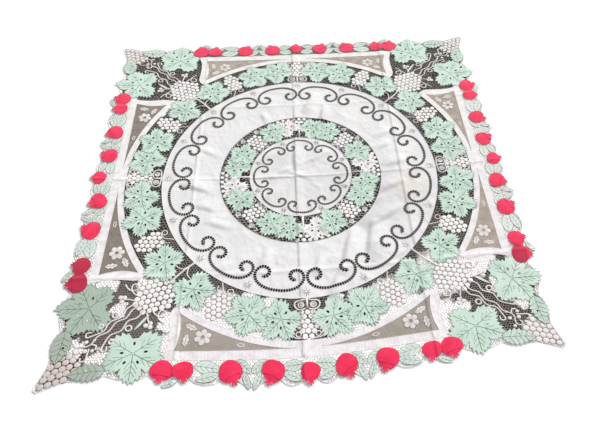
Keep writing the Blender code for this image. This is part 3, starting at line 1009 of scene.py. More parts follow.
def thread_finish(name, code, other):
    """Twisted thread of one colour, a little uneven."""
    thread = Finish(name)
    twist = ((thread.x - thread.y + thread.z) * (math.pi / (0.8 * MM))).sine()
    tone = thread.mixed(thread.mottle(45, 2).step(0.3, 0.7), code, other)
    tone = thread.shaded(tone, twist * 0.08 + 0.92)
    return thread.finish(tone, 0.75, twist, 0.2, sheen=0.1)


WHITE_LINEN = white_linen_finish()
FRAME_LINEN = {along: gathered_linen_finish(f"gathered_linen_{along}", along) for along in "xy"}
BAR_THREAD = bar_thread_finish()
WHITE_THREAD = white_thread_finish()
GRAPE_STITCH = grape_finish()
MINT_LINEN = green_linen_finish("mint_linen", ("#d4e9db", "#c6decf"), "#abbcac")
GREY_GREEN_LINEN = green_linen_finish("grey_green_linen", ("#d2e3d6", "#c0d2c6"), "#a9b6a7")
PALE_LINEN = green_linen_finish("pale_mint_linen", ("#e0ebe3", "#d0ddd3"), "#b9c5ba")
RED_LINEN = red_linen_finish()
TAUPE_NET = net_finish()
VEIN_THREAD = thread_finish("green_vein_thread", "#7f9688", "#6d8478")
DARK_VEIN_THREAD = thread_finish("dark_green_vein_thread", "#6f867a", "#5b7064")
RED_THREAD = thread_finish("red_edge_thread", "#cf2048", "#b51a3e")
TAN_THREAD = thread_finish("tan_thread", "#8c7263", "#775e50")
GRAPE_THREAD = thread_finish("grape_edge_thread", "#a3968d", "#8f827a")


# Linen with its scroll openwork


# Scroll of the round centre and of the ring: length of half of it, how much it bends in its
# middle and how much more at its end, how late it tightens, steps
CENTRE_SCROLL = (107, 1 / 70, 0.13, 1.8, 36)
RING_SCROLL = (174, 1 / 150, 0.08, 1.5, 50)
CENTRE_SCROLL_R = 145
RING_SCROLL_R = 403
# Half width of the openwork along a scroll
CENTRE_BAND = 3.4
RING_BAND = 4.3
# Shares of the openwork's width: at a line's last point, the one before it and the others; at
# even points and at odd ones, where a rung draws it in. Then how much wider the curled ends
# are, and over how many points
END_WIDTHS = (0.7, 1.05, 1.0)
BEAD_WIDTHS = (1.18, 0.66)
CURL_SWELL = 0.3
CURL_POINTS = 18
# Radius of the cord round the openwork and the frames, of a rung and of a round rim; the share
# of the openwork's width that a rung takes up
EDGE_CORD = 0.45
RUNG_CORD = 0.8
RIM_CORD = 0.9
RUNG_SHARE = 0.8
# Points on the rims of the round centre, the ring's hole and the ring
RIM_POINTS = {CENTRE_EDGE: 96, INNER_FIELD_R: 128, RING_R: 180}
# Sprays between the scrolls: how many, radius, turn of the first, reach
SPRAYS = ((8, 142, 22.5, 11), (16, 405, 0, 14))
# Radius of their thread, the open middle as a share of the reach, then the straight stitches:
# turn, length as a share of the reach
SPRAY_THREAD = 0.62
SPRAY_MIDDLE = 0.22
SPRAY_STITCHES = (
    (0, 1), (36, 0.9), (74, 0.8), (118, 0.85), (180, 1), (-118, 0.8), (-74, 0.8), (-36, 0.9),
)


def scroll_line(length, start, end, power, steps):
    """Scroll that bends ever tighter from its middle to its curled ends, drawn flat."""
    half = [(0.0, 0.0)]
    x = y = heading = 0.0
    stride = length / steps
    for step in range(steps):
        bend = (start + end * ((step + 0.5) / steps) ** power) * stride
        heading += bend / 2
        x += math.cos(heading) * stride
        y -= math.sin(heading) * stride
        heading += bend / 2
        half.append((x, y))
    return mirrored(half)[:0:-1] + half


def band_outline(line, half_width):
    """Both edges of a beaded band that follows a line."""
    left = []
    right = []
    last = len(line) - 1
    for index, (x, y) in enumerate(line):
        before = line[max(index - 1, 0)]
        after = line[min(index + 1, last)]
        dx = after[0] - before[0]
        dy = after[1] - before[1]
        length = math.hypot(dx, dy)
        from_end = min(index, last - index)
        wide = half_width * END_WIDTHS[min(from_end, 2)] * BEAD_WIDTHS[index % 2]
        wide *= 1 + CURL_SWELL * max(0, 1 - from_end / CURL_POINTS)
        left.append((x - dy / length * wide, y + dx / length * wide))
        right.append((x + dy / length * wide, y - dx / length * wide))
    return left + right[::-1]


def scrolls(line, count, radius, first_angle):
    """One scroll line for each part of a circle."""
    angles = [first_angle + 360 * number / count for number in range(count)]
    return [placed(line, *polar(radius, angle), angle) for angle in angles]


def add_scroll_cords(cords, line, half_width):
    """Corded edges of a scroll's openwork, and a rung at each place where they draw in."""
    add_cord(cords, band_outline(line, half_width + 0.3), EDGE_CORD, LINEN_THICK + 0.1, closed=True)
    for index in range(1, len(line) - 1, 2):
        (x0, y0), (x1, y1) = line[index - 1], line[index + 1]
        length = math.hypot(x1 - x0, y1 - y0)
        aside_x = (y1 - y0) / length * half_width * RUNG_SHARE
        aside_y = -(x1 - x0) / length * half_width * RUNG_SHARE
        x, y = line[index]
        rung = [(x - aside_x, y - aside_y), (x + aside_x, y + aside_y)]
        add_cord(cords, rung, RUNG_CORD, LINEN_THICK * 0.6, flat=0.6)


def add_spray(cords, radius, angle, reach):
    """Small spray of straight stitches on the linen, where scrolls meet."""
    x, y = polar(radius, angle)
    for turn, share in SPRAY_STITCHES:
        stitch = [polar(reach * SPRAY_MIDDLE, turn), polar(reach * share, turn)]
        add_cord(cords, placed(stitch, x, y, angle), SPRAY_THREAD, LINEN_THICK + 0.3, sides=3)


def rim(radius):
    """Round rim of the linen."""
    return circle(radius, RIM_POINTS[radius])


centre_scrolls = scrolls(scroll_line(*CENTRE_SCROLL), 8, CENTRE_SCROLL_R, 0)
ring_scrolls = scrolls(scroll_line(*RING_SCROLL), 16, RING_SCROLL_R, 11.25)

centre_piece = Piece()
centre_openings = [band_outline(line, CENTRE_BAND) for line in centre_scrolls]
add_cloth(centre_piece, [rim(CENTRE_EDGE)] + centre_openings, SPACING["centre"], 0, LINEN_THICK)
centre_linen = centre_piece.lay("round_centre", WHITE_LINEN, "white_linen", "centre_linen")

ring_piece = Piece()
ring_openings = [rim(INNER_FIELD_R)] + [band_outline(line, RING_BAND) for line in ring_scrolls]
add_cloth(ring_piece, [rim(RING_R)] + ring_openings, SPACING["ring"], 0, LINEN_THICK)
ring_linen = ring_piece.lay("round_ring", WHITE_LINEN, "white_linen", "ring_linen")

scroll_cords = Piece()
for line in centre_scrolls:
    add_scroll_cords(scroll_cords, line, CENTRE_BAND)
for line in ring_scrolls:
    add_scroll_cords(scroll_cords, line, RING_BAND)
for radius in RIM_POINTS:
    add_cord(scroll_cords, rim(radius), RIM_CORD, LINEN_THICK * 0.75, closed=True)
scroll_piece = scroll_cords.lay("scroll_cords", WHITE_THREAD, "white_linen")

sprays = Piece()
for count, radius, first_angle, reach in SPRAYS:
    for number in range(count):
        add_spray(sprays, radius, first_angle + 360 / count * number, reach)
spray_piece = sprays.lay("tan_stitch_sprays", TAN_THREAD)


# Border of linen: on each side the strip, the round band and the ends of the nets' frame


# Right end of the far side's frame, from the round band to the strip
FRAME_END = ((340, 432), (349, 450), (347, 480), (345, 510), (347, 542), (357, 579), (341, 576))
FRAME_END_ANGLE = 37.5
STRIP_END = 330
STRIP_STEP = 12


def frame_outline():
    """Frame of the two nets of the far side."""
    angles = np.linspace(-FRAME_END_ANGLE, FRAME_END_ANGLE, 61)
    inner = [polar(OUTER_FIELD_R, angle) for angle in angles]
    right = drawn_curve(list(FRAME_END), 3)
    strip = [(x, STRIP_OUTSIDE) for x in range(STRIP_END, -STRIP_END - 1, -STRIP_STEP)]
    return inner + right + strip + mirrored(right)[::-1]


def net_outline(margin):
    """Curved triangle of net on the right half of the far side; margin widens it."""
    band = BAND_R - margin
    side = STRIP_INSIDE + margin
    tip_x = math.sqrt(BAND_R ** 2 - STRIP_INSIDE ** 2)
    tip_angle = math.degrees(math.asin(tip_x / BAND_R))
    points = [polar(band, angle) for angle in np.linspace(tip_angle, NET_END_ANGLE, 30)]
    end_x, end_y = points[-1]
    points[-1] = (end_x + margin, end_y)
    for share in (0.2, 0.4, 0.6, 0.8):
        dip = NET_END_DIP * 4 * share * (1 - share)
        x = end_x + (NET_END_X - end_x) * share - dip + margin
        points.append((x, end_y + (side - end_y) * share))
    points.append((NET_END_X + margin, side))
    points += [(x, side) for x in range(NET_END_X - STRIP_STEP, int(tip_x) + STRIP_STEP, -STRIP_STEP)]
    return points


edge_cords = Piece()
frame_shape = frame_outline()
net_hole = net_outline(0)
frame_area = area_within(frame_shape) - 2 * area_within(net_hole)
frames = []
for quarter, side in enumerate(SIDES):
    shapes = [in_quarter(points, quarter) for points in (frame_shape, net_hole, mirrored(net_hole))]
    frame_piece = Piece()
    add_cloth(frame_piece, shapes, SPACING["frame"], 0, LINEN_THICK)
    for shape in shapes:
        add_cord(edge_cords, shape, EDGE_CORD, LINEN_THICK * 0.9, closed=True)
    finish = FRAME_LINEN["xy"[quarter % 2]]
    frames.append(frame_piece.lay(f"border_frame_{side}", finish, "white_linen", "border_linen"))
edge_cords.lay("border_edge_cords", WHITE_THREAD, "white_linen")


# Net and the white flowers worked on it


# Middle of the flower; then its sprigs and a small eye: x, y, half length, half width, turned
NET_FLOWER = (262, 517)
NET_SPRIGS = ((292, 489, 17, 7.5, 118), (303, 524, 17, 7, 8))
NET_EYE = (168, 540, 9, 3.6, 96)
# How far the net reaches under the linen
NET_MARGIN = 2
# Petals: how many, how far out, turn of the first, half width and half length
PETALS = 6
PETAL_OUT = 13.6
PETAL_TURN = 10
PETAL_HALF = (7.6, 8.4)
# Cord round a petal: half width and half length, then how its points go in and out
PETAL_RIM_HALF = (7.9, 8.9)
RUFFLE = (0.96, 1.10) * 7
# How the points round a sprig go in and out
SAW = (0.8, 1.35) * 9
# Underside of the flowers, how high a petal is padded and how thick a sprig is
FLOWER_BASE = 0.8
PETAL_TOP = 0.5
SPRIG_THICK = 0.35
# Radius of the cord round the petals and the sprigs, and of a sprig's vein
PETAL_CORD = 0.4
SPRIG_VEIN = 0.45
# Ring round the middle of the flower, and the radius of its cord and of the eye's
FLOWER_RING = 6.4
LOOP_CORD = 1.5


def almond(length, width, steps=14):
    """Pointed oval about the origin, its tips along y."""
    points = []
    for step in range(steps):
        turn = 2 * math.pi * step / steps
        points.append((width * math.sin(turn) * abs(math.sin(turn)) ** 0.35, length * math.cos(turn)))
    return points


nets = []
flowers = Piece()
petal_cords = Piece()
for number, (quarter, flip) in enumerate(product(range(4), (list, mirrored)), 1):
    shape = in_quarter(net_outline(NET_MARGIN), quarter, flip)
    net_piece = Piece()
    add_cloth(net_piece, [shape], SPACING["net"], NET_BASE, NET_THICK)
    net = net_piece.lay(f"net_panel_{number}", TAUPE_NET, "taupe_net", f"net_{number}")
    nets.append((net, area_within(shape)))
    points, faces = PADDED_STITCH
    if flip is mirrored:
        faces = [tuple(reversed(face)) for face in faces]
    for petal in range(PETALS):
        turn = 360 / PETALS * petal + PETAL_TURN
        dx, dy = polar(PETAL_OUT, turn)
        x = NET_FLOWER[0] + dx
        y = NET_FLOWER[1] + dy
        drawn = placed([(px * PETAL_HALF[0], py * PETAL_HALF[1]) for px, py, _ in points], x, y, turn)
        drawn = in_quarter(drawn, quarter, flip)
        heights = [FLOWER_BASE + PETAL_TOP * pz for _, _, pz in points]
        flowers.add([(px, py, height) for (px, py), height in zip(drawn, heights)], faces)
        ruffled = [(px * PETAL_RIM_HALF[0] * wave, py * PETAL_RIM_HALF[1] * wave)
                   for (px, py), wave in zip(circle(1, len(RUFFLE)), RUFFLE)]
        ruffled = in_quarter(placed(ruffled, x, y, turn), quarter, flip)
        add_cord(petal_cords, ruffled, PETAL_CORD, 0.95, sides=3, closed=True)
    x, y, length, width, turn = NET_EYE
    for loop in (placed(almond(length, width), x, y, turn), circle(FLOWER_RING, 16, *NET_FLOWER)):
        add_cord(flowers, in_quarter(loop, quarter, flip), LOOP_CORD, 1.0, closed=True, flat=0.5)
    for x, y, length, width, turn in NET_SPRIGS:
        sprig = [(px * wave, py) for (px, py), wave in zip(almond(length, width, len(SAW)), SAW)]
        sprig = in_quarter(placed(sprig, x, y, turn), quarter, flip)
        add_cloth(flowers, [sprig], SPACING["sprig"], FLOWER_BASE, SPRIG_THICK)
        add_cord(petal_cords, sprig, PETAL_CORD, 1.1, sides=3, closed=True)
        vein = placed([(0, -length * 0.8), (0, length * 0.75)], x, y, turn)
        add_cord(petal_cords, in_quarter(vein, quarter, flip), SPRIG_VEIN, 1.3, sides=3)
flowers.lay("net_flowers", WHITE_THREAD, "white_linen")
petal_cords.lay("net_flower_cords", TAN_THREAD)


# Green leaves


# What the sheets at the end need of each leaf: its piece, flat area, and middles with sizes
leaf_rows = []
# Round places where a motif hides the bars, and wider ones round the leaves: x, y, reach
covers = []
leaf_surrounds = []

leaf_cords = Piece()
outer_leaf_cords = Piece()
corner_leaf_cords = Piece()
white_leaf_cords = Piece()


def make_leaf_piece(name, node, slot, finish, cords, centres, raised=0.0, fine=1.0):
    """Sheet of one leaf, or of two that overlap; raised where it lies on another."""
    piece = Piece()
    flat_area = 0
    for step, (x, y, size, angle) in enumerate(centres):
        leaf = vine_leaf(x, y, size, angle)
        add_vine_leaf(piece, cords, leaf, LEAF_BASE + raised + OVERLAP * step, fine)
        flat_area += area_within(leaf[0])
        covers.append((x, y, size * LEAF_COVER))
        leaf_surrounds.append((x, y, size * LEAF_SURROUND))
    leaf_rows.append((piece.lay(name, finish, slot, node), flat_area, centres))


for number in range(1, 5):
    start = 90 * (number - 1)
    pair = []
    for angle in INNER_PAIR_ANGLES:
        at = start + angle
        lean = INNER_PAIR_LEAN[0] + INNER_PAIR_LEAN[1] * angle
        pair.append((*polar(INNER_LEAF_R, at), INNER_LEAF_SIZE, at + lean))
    make_leaf_piece(f"vine_leaves_inner_pair_{number}", f"inner_leaf_pair_{number}",
                    "green_linen", MINT_LINEN, leaf_cords, pair, 0, INNER_THREADS)
    at = start + INNER_SINGLE_ANGLE
    single = (*polar(INNER_LEAF_R, at), INNER_LEAF_SIZE, at + INNER_SINGLE_LEAN)
    make_leaf_piece(f"vine_leaf_inner_{number}", f"inner_leaf_{number}",
                    "green_linen", MINT_LINEN, leaf_cords, [single], OVERLAP, INNER_THREADS)
    radius, turn, size, lean = WHITE_LEAF
    white = (*polar(radius, start + turn), size, start + turn + lean)
    make_leaf_piece(f"white_leaf_{number}", None, "white_linen", GRAPE_STITCH,
                    white_leaf_cords, [white], 0.1, WHITE_LEAF_THREADS)

for number, (quarter, side) in enumerate(product(range(4), (1, -1)), 1):
    pair = []
    for angle in OUTER_PAIR_ANGLES:
        at = 90 * quarter + side * angle
        lean = side * (OUTER_PAIR_LEAN[0] + OUTER_PAIR_LEAN[1] * angle)
        pair.append((*polar(OUTER_LEAF_R, at), OUTER_LEAF_SIZE, at + lean))
    make_leaf_piece(f"vine_leaves_outer_pair_{number}", f"outer_leaf_pair_{number}",
                    "green_linen", MINT_LINEN, outer_leaf_cords, pair)
    at = 90 * quarter + side * OUTER_SINGLE_ANGLE
    single = (*polar(OUTER_LEAF_R, at), OUTER_LEAF_SIZE, at + side * OUTER_SINGLE_LEAN)
    make_leaf_piece(f"vine_leaf_outer_{number}", f"outer_leaf_{number}",
                    "green_linen", MINT_LINEN, outer_leaf_cords, [single])


def leaflet_shapes(length, width):
    """Saw-toothed outline of a long leaflet with its tip along y, its eyelet and its veins."""
    side = []
    for tooth in range(LEAFLET_TEETH):
        for share, grown in ((tooth + 0.12, 0.80), (tooth + 0.95, 1.10)):
            along = share / LEAFLET_TEETH
            half = width / 2 * math.sin(math.pi * along ** 0.8) ** 0.75
            side.append((half * grown, (along - 0.5) * length))
    outline = [(0, -length / 2)] + side + [(0, length / 2)] + mirrored(side)[::-1]
    eyelet = circle(3.1, 8, width * 0.14, length * 0.02)
    veins = [[(0, -length * 0.48), (width * 0.03, 0), (0, length * 0.46)]]
    for share in (-0.3, -0.14, 0.02, 0.18):
        for way in (-1, 1):
            veins.append([(0, share * length), (way * width * 0.18, (share + 0.07) * length),
                          (way * width * 0.36, (share + 0.12) * length)])
    return [outline[::-1], eyelet] + veins


def make_corner_leaflet(number, quarter, flip):
    """Leaflet beside the corner's tip, half under the grapes."""
    x, y, length, width, turn = CORNER_LEAFLET
    drawn = [placed(points, x, y, turn) for points in leaflet_shapes(length, width)]
    outline, eyelet, *veins = [in_quarter(points, quarter, flip) for points in drawn]
    piece = Piece()
    base = LEAF_BASE + OVERLAP
    add_cloth(piece, [outline, eyelet], SPACING["leaflet"], base, LEAF_THICK)
    top = base + LEAF_THICK
    add_cord(corner_leaf_cords, outline, LEAF_EDGE_CORD, top - LEAF_EDGE_DOWN, sides=3, closed=True)
    for vein in veins:
        add_cord(corner_leaf_cords, drawn_curve(vein, 2), TWIG_CORD, top + VEIN_UP, sides=3)
    made = piece.lay(f"corner_leaflet_cloth_{number}", GREY_GREEN_LINEN, "deep_green",
                     f"corner_leaflet_{number}")
    middle, = in_quarter([(x, y)], quarter, flip)
    covers.append((*middle, width * 0.48))
    leaf_rows.append((made, area_within(outline), [(*middle, length * 0.42, turn)]))


for number, (quarter, flip) in enumerate(product(range(4), (list, across_diagonal)), 1):
    x, y, size, turn = CORNER_LEAF
    middle, = in_quarter([(x, y)], quarter, flip)
    leaf_turn = turn if flip is list else 90 - turn
    make_leaf_piece(f"vine_leaf_corner_{number}", f"corner_leaf_{number}", "green_linen",
                    MINT_LINEN, corner_leaf_cords, [(*middle, size, leaf_turn + 90 * quarter)])
    make_corner_leaflet(number, quarter, flip)

leaf_cords.lay("inner_leaf_veins", VEIN_THREAD)
outer_leaf_cords.lay("outer_leaf_veins", DARK_VEIN_THREAD)
corner_leaf_cords.lay("corner_leaf_veins", DARK_VEIN_THREAD)
white_leaf_cords.lay("white_leaf_veins", GRAPE_THREAD)


# Fruit garlands


FRUIT_STITCHES = 52
# Edge of a fruit, as shares of its radius: how uneven it is, and how its points go out and in
FRUIT_OVAL = 0.05
FRUIT_DENTS = 0.04
FRUIT_JAGS = (-0.01, 0.022)
# Height of a fruit's padding in its middle, and how much higher every second one lies
FRUIT_RELIEF = 1.4
FRUIT_STEP = 0.5
# Stitched line across a fruit under its crown: turn from the crown, share of the radius
FRUIT_SEAM = ((-58, 0.90), (-42, 0.62), (-8, 0.46), (30, 0.58), (52, 0.88))
# Points of the crown in the same way, and how far it reaches to each side of its middle
CROWN = ((-17, 0.98), (-15, 1.30), (-7, 1.12), (0, 1.38), (7, 1.12), (15, 1.30), (17, 0.98))
CROWN_ROOM = 18
# How much higher every second leaf of a garland lies
GARLAND_LEAF_STEP = 0.7
# Share of a fruit's radius, and of a garland leaf's width, that hides the bars
FRUIT_COVER = 0.95
GARLAND_LEAF_COVER = 0.45
# Radius of the threads on a fruit, round a garland leaf and on its veins
FRUIT_CORD = 0.5
GARLAND_EDGE_CORD = 0.52
GARLAND_VEIN_CORD = 0.3
# How far inside a crown's edge its white thread lies, as a share of the fruit's radius
CROWN_INSIDE = 0.04
# Long side and width that the fruits of one side are cut from, and its leaves
FRUITS_FLAT = (760, 64)
GARLAND_LEAVES_FLAT = (600, 50)


def fruit_outline(radius, lean):
    """Round fruit, never quite even, with its pointed crown on the outer side."""
    points = []
    uneven = chance.uniform(0, 360)
    for step in range(FRUIT_STITCHES):
        angle = 360 * step / FRUIT_STITCHES
        away = (angle - lean + 180) % 360 - 180
        bulge = FRUIT_OVAL * math.cos(math.radians(2 * away))
        bulge += FRUIT_DENTS * math.sin(math.radians(3 * away + uneven))
        if abs(away) > CROWN_ROOM:
            points.append(polar(radius * (1 - bulge + FRUIT_JAGS[step % 2]), angle))
    points += [polar(radius * reach, lean + turn) for turn, reach in CROWN]
    points.sort(key=lambda point: math.atan2(point[0], point[1]))
    return points


def plump(x, y, radius):
    """Relief of a padded fruit round its middle."""
    def relief(px, py):
        reach = math.hypot(px - x, py - y) / radius
        return FRUIT_RELIEF * max(0, 1 - reach * reach)
    return relief


def garland_leaf_veins(length, width):
    """Middle vein and side veins of a garland leaf."""
    veins = [[(0, -length * 0.46), (0, length * 0.42)]]
    for share in (-0.28, -0.06, 0.16):
        for way in (-1, 1):
            veins.append([(0, share * length), (way * width * 0.32, share * length + width * 0.36)])
    return veins


# What the sheets at the end need of each side: piece, flat area, long side and width
garland_rows = []
fruit_cords = Piece()
garland_cords = Piece()
crown_threads = Piece()
for quarter, side in enumerate(SIDES):
    fruits = Piece()
    fruit_area = 0
    row = [(-place, radius, -lean) for place, radius, lean in FRUITS[:0:-1]] + list(FRUITS)
    for index, (place, radius, lean) in enumerate(row):
        out = GARLAND_LINE + (MIDDLE_FRUIT_OUT[side] if place == 0 else 0)
        edge = fruit_outline(radius, lean)
        crown = [polar(radius * (reach - CROWN_INSIDE), lean + turn) for turn, reach in CROWN]
        seam = [polar(radius * reach, lean + turn) for turn, reach in FRUIT_SEAM]
        edge, crown, seam, [(x, y)] = [
            in_quarter(placed(points, place, out, 0), quarter) for points in (edge, crown, seam, [(0, 0)])
        ]
        base = FRUIT_BASE + FRUIT_STEP * (index % 2)
        add_cloth(fruits, [edge], SPACING["fruit"], base, FRUIT_THICK, plump(x, y, radius))
        add_cord(fruit_cords, edge, FRUIT_CORD, base + 0.6, closed=True)
        add_cord(crown_threads, crown, FRUIT_CORD, base + 1.2, sides=3)
        if index % 3 != 1:
            add_cord(fruit_cords, drawn_curve(seam, 4), FRUIT_CORD, base + 2.0, sides=3)
        fruit_area += area_within(edge)
        covers.append((x, y, radius * FRUIT_COVER))
    made = fruits.lay(f"fruits_{side}", RED_LINEN, "red_linen", f"garland_{side}")
    garland_rows.append((made, fruit_area, *FRUITS_FLAT))
    leaves = Piece()
    leaf_area = 0
    for flip, (number, leaf) in product((list, mirrored), enumerate(GARLAND_LEAVES)):
        along, out, length, width, turn = leaf
        drawn = [almond(length / 2, width / 2, 22), [(0, 0)]] + garland_leaf_veins(length, width)
        shape, [(x, y)], *veins = [
            in_quarter(placed(points, along, GARLAND_LINE + out, turn), quarter, flip) for points in drawn
        ]
        base = GARLAND_LEAF_BASE + GARLAND_LEAF_STEP * (number % 2)
        add_cloth(leaves, [shape], SPACING["garland_leaf"], base, GARLAND_LEAF_THICK)
        add_cord(garland_cords, shape, GARLAND_EDGE_CORD, base + 0.3, sides=3, closed=True)
        for vein in veins:
            add_cord(garland_cords, vein, GARLAND_VEIN_CORD, base + 0.6, sides=3)
        leaf_area += area_within(shape)
        covers.append((x, y, width * GARLAND_LEAF_COVER))
    made = leaves.lay(f"garland_leaves_{side}", PALE_LINEN, "green_linen")
    garland_rows.append((made, leaf_area, *GARLAND_LEAVES_FLAT))
fruit_cords.lay("fruit_edge_cords", RED_THREAD, "red_linen")
garland_cords.lay("garland_leaf_cords", DARK_VEIN_THREAD)
crown_threads.lay("fruit_crown_threads", WHITE_THREAD)


# Grapes, tendrils and stems worked in white thread


# Grapes in each row of a bunch, away from its start
INNER_ROWS = (3, 4, 3, 4, 3)
AXIS_ROWS = (3, 4, 3, 4, 3, 2, 1)
SIDE_ROWS = (3, 4, 3, 4, 3, 2)
CORNER_ROWS = (3, 4, 5, 6, 7, 6, 5, 4, 3)
TIP_ROWS = (3, 4, 5, 4, 3, 2, 1)
# Buds along the rim of the inner field: radius, turn from its axis
RIM_BUDS = (
    (242, -17), (242, -12.6), (242, -8.4), (242, -4.2), (242, 0), (242, 4.2), (229, -2.2), (229, 2.2),
)
# Turn of the bunches beside the axes, of those in the inner field and of those in the corners
SIDE_TURN = 28
INNER_TURN = 46
DIAGONAL = 45
# How far a grape strays from its place either way, and its size as shares, from and to
GRAPE_STRAY = (-0.9, 0.9)
GRAPE_UNEVEN = (0.92, 1.03)
# Grapes keep off the leaves and the other motifs by these shares of their reach
KEEP_OFF_LEAVES = 0.66
KEEP_OFF_COVERS = 1.05

grapes = {"inner": Piece(), "outer": Piece(), "corner": Piece()}
grape_cords = Piece()
grape_places = []


def inside_any(x, y, rounds, share):
    """Whether a plan point lies inside a share of the reach of any of these places."""
    return any(math.hypot(x - cx, y - cy) < reach * share for cx, cy, reach in rounds)


def add_bunch(field, places, radius):
    """Padded grapes at those of these places that no other motif takes up."""
    for x, y in places:
        if inside_any(x, y, leaf_surrounds, KEEP_OFF_LEAVES) or inside_any(x, y, covers, KEEP_OFF_COVERS):
            continue
        grape_places.append((x, y, radius))
        x += chance.uniform(*GRAPE_STRAY)
        y += chance.uniform(*GRAPE_STRAY)
        add_grape(grapes[field], grape_cords, x, y, radius * chance.uniform(*GRAPE_UNEVEN))


for quarter in range(4):
    start = 90 * quarter
    at = start + INNER_TURN
    add_bunch("inner", bunch(*polar(174, at), at, INNER_ROWS, 14, 12.4), 6.9)
    add_bunch("inner", [polar(radius, start + turn) for radius, turn in RIM_BUDS], 6.5)
    add_bunch("outer", bunch(*polar(463, start), start, AXIS_ROWS, 15.4, 12.6), 7.7)
    for side in (1, -1):
        at = start + side * SIDE_TURN
        add_bunch("outer", bunch(*polar(459, at), at, SIDE_ROWS, 15.4, 13.2), 7.7)
    at = start + DIAGONAL
    add_bunch("corner", bunch(*polar(502, at), at, CORNER_ROWS, 16.2, 13.4), 8.0)
    add_bunch("corner", bunch(*polar(800, at), at, TIP_ROWS, 17.4, 14.4), 8.8)
for field, piece in grapes.items():
    piece.lay(f"{field}_grapes", GRAPE_STITCH, "white_linen")
grape_cords.lay("grape_edge_cords", GRAPE_THREAD)

# Bars of linen across both fields on the axes: where they start and end, half of their width
AXIS_BARS = ((CENTRE_EDGE - 1, 230), (RING_R - 1, 452))
AXIS_BAR_HALF = 3.4

# Tendrils beside a bunch: thickness, then radius and turn from the bunch
STEM_TENDRIL = (1.4, ((446, 0), (462, 1.6), (466, 4)))
SIDE_TENDRILS = (
    (1.3, ((452, -2), (451, 0.4), (443, 1.6), (434, 2.4), (427, 3.4))),
    (1.0, ((456, 1), (452, 3), (440, 3.8))),
)
INNER_STALK = (1.2, ((170, 0), (163, 2), (158, 5)))
INNER_TENDRILS = (
    (1.3, ((244, 5), (236, 9), (229, 7.5), (233, 5.5), (240, 7))),
    (1.3, ((246, 11), (239, 12.5), (234, 10.5))),
    (1.3, ((226, 10), (219, 8.5), (214, 10.5), (218, 12))),
    (1.3, ((178, 12), (171, 9), (165, 11), (169, 14))),
)

# Tendrils on the axes of the outer field: thickness, aside and outwards; rings with their size
AXIS_TENDRILS = (
    (1.9, ((4, 428), (15, 430), (28, 432), (33, 441), (28, 452), (15, 457), (4, 453))),
    (1.4, ((44, 511), (40, 522), (31, 530), (16, 531), (8, 534))),
    (1.2, ((30, 500), (36, 506), (36, 514))),
)
AXIS_RINGS = ((16, 443, 7.2), (15, 443, 3.0), (25, 521, 6.2), (38, 503, 4.5))

# Tendrils of a corner: distance out along the diagonal, then aside from it; rings and
# berries with their size
CORNER_TENDRILS = (
    ((596, 0), (622, 8), (648, 1), (672, 9), (700, 2), (725, 10), (748, 4), (764, 10)),
    ((602, 14), (630, 21), (655, 12), (682, 21), (706, 12), (728, 19), (745, 28), (738, 37), (728, 30)),
    ((600, -12), (628, -19), (650, -10), (678, -19), (702, -10), (724, -17), (742, -28), (735, -37),
     (726, -29)),
    ((586, 24), (592, 40), (590, 56), (580, 66), (570, 60), (574, 48), (586, 50), (594, 62), (592, 82)),
    ((586, -24), (592, -40), (590, -56), (580, -66), (570, -60), (574, -48), (586, -50), (594, -62),
     (592, -82)),
    ((604, 26), (612, 40), (620, 48)),
    ((604, -26), (612, -40), (618, -52)),
    ((762, 12), (774, 22), (786, 18), (784, 8), (774, 8)),
    ((758, -2), (770, -12), (782, -22), (792, -16), (786, -8)),
    ((748, 4), (742, -8), (750, -16)),
)
CORNER_RINGS = ((661, 27, 7.5), (661, -27, 7.5), (703, 27, 5.5), (712, -27, 5.5))
CORNER_BERRIES = (
    (616, 52, 6.4), (628, 48, 6.4), (623, 60, 6.4), (616, -56, 6.4), (628, -52, 6.4), (623, -64, 6.4),
    (752, 18, 5.5), (768, 0, 6), (756, -12, 5), (775, 30, 5), (790, 0, 5), (735, 8, 4),
)
# Underside of a berry, and how high it is padded
BERRY_BASE = 0.6
BERRY_TOP = 1.2
# Green bud in the same way as the tendrils, with its half length, half width and turn; then
# its underside and thickness
CORNER_BUD = (628, -38, 27, 3.6, 217)
BUD_BASE = 1.0
BUD_THICK = 0.7
# Thickness of a corner's stem, of its tendrils and of its rings
STEM_THICK = 2.6
CORNER_THICK = 1.8
CORNER_RING_THICK = 1.9

# How much thicker the tendrils are than their lines say, for the stitches that cover them
TENDRIL_THICK = 1.25
tendrils = Piece()
buds = Piece()


def add_tendril(points, radius=1.6, closed=False, flat=0.6, steps=5):
    """White corded tendril through a few points."""
    line = drawn_curve(points, steps, closed)
    add_cord(tendrils, line, radius * TENDRIL_THICK, TENDRIL_HEIGHT, sides=5, closed=closed, flat=flat)


def add_ring(reach, x, y, radius, count=10, angle=0):
    """Small corded ring, turned about the middle of the cloth with its place."""
    add_tendril(turned(circle(reach, count, x, y), angle), radius, closed=True, steps=2)


def add_side_tendril(tendril, at, side):
    """Tendril given by radii and turns from a bunch, on one side of the bunch."""
    radius, line = tendril
    add_tendril([polar(out, at + side * turn) for out, turn in line], radius)


def by_diagonal(points, quarter):
    """Plan points in a corner, from distances out along the diagonal and aside from it."""
    return in_quarter([((out + aside) * 0.7071, (out - aside) * 0.7071) for out, aside in points], quarter)


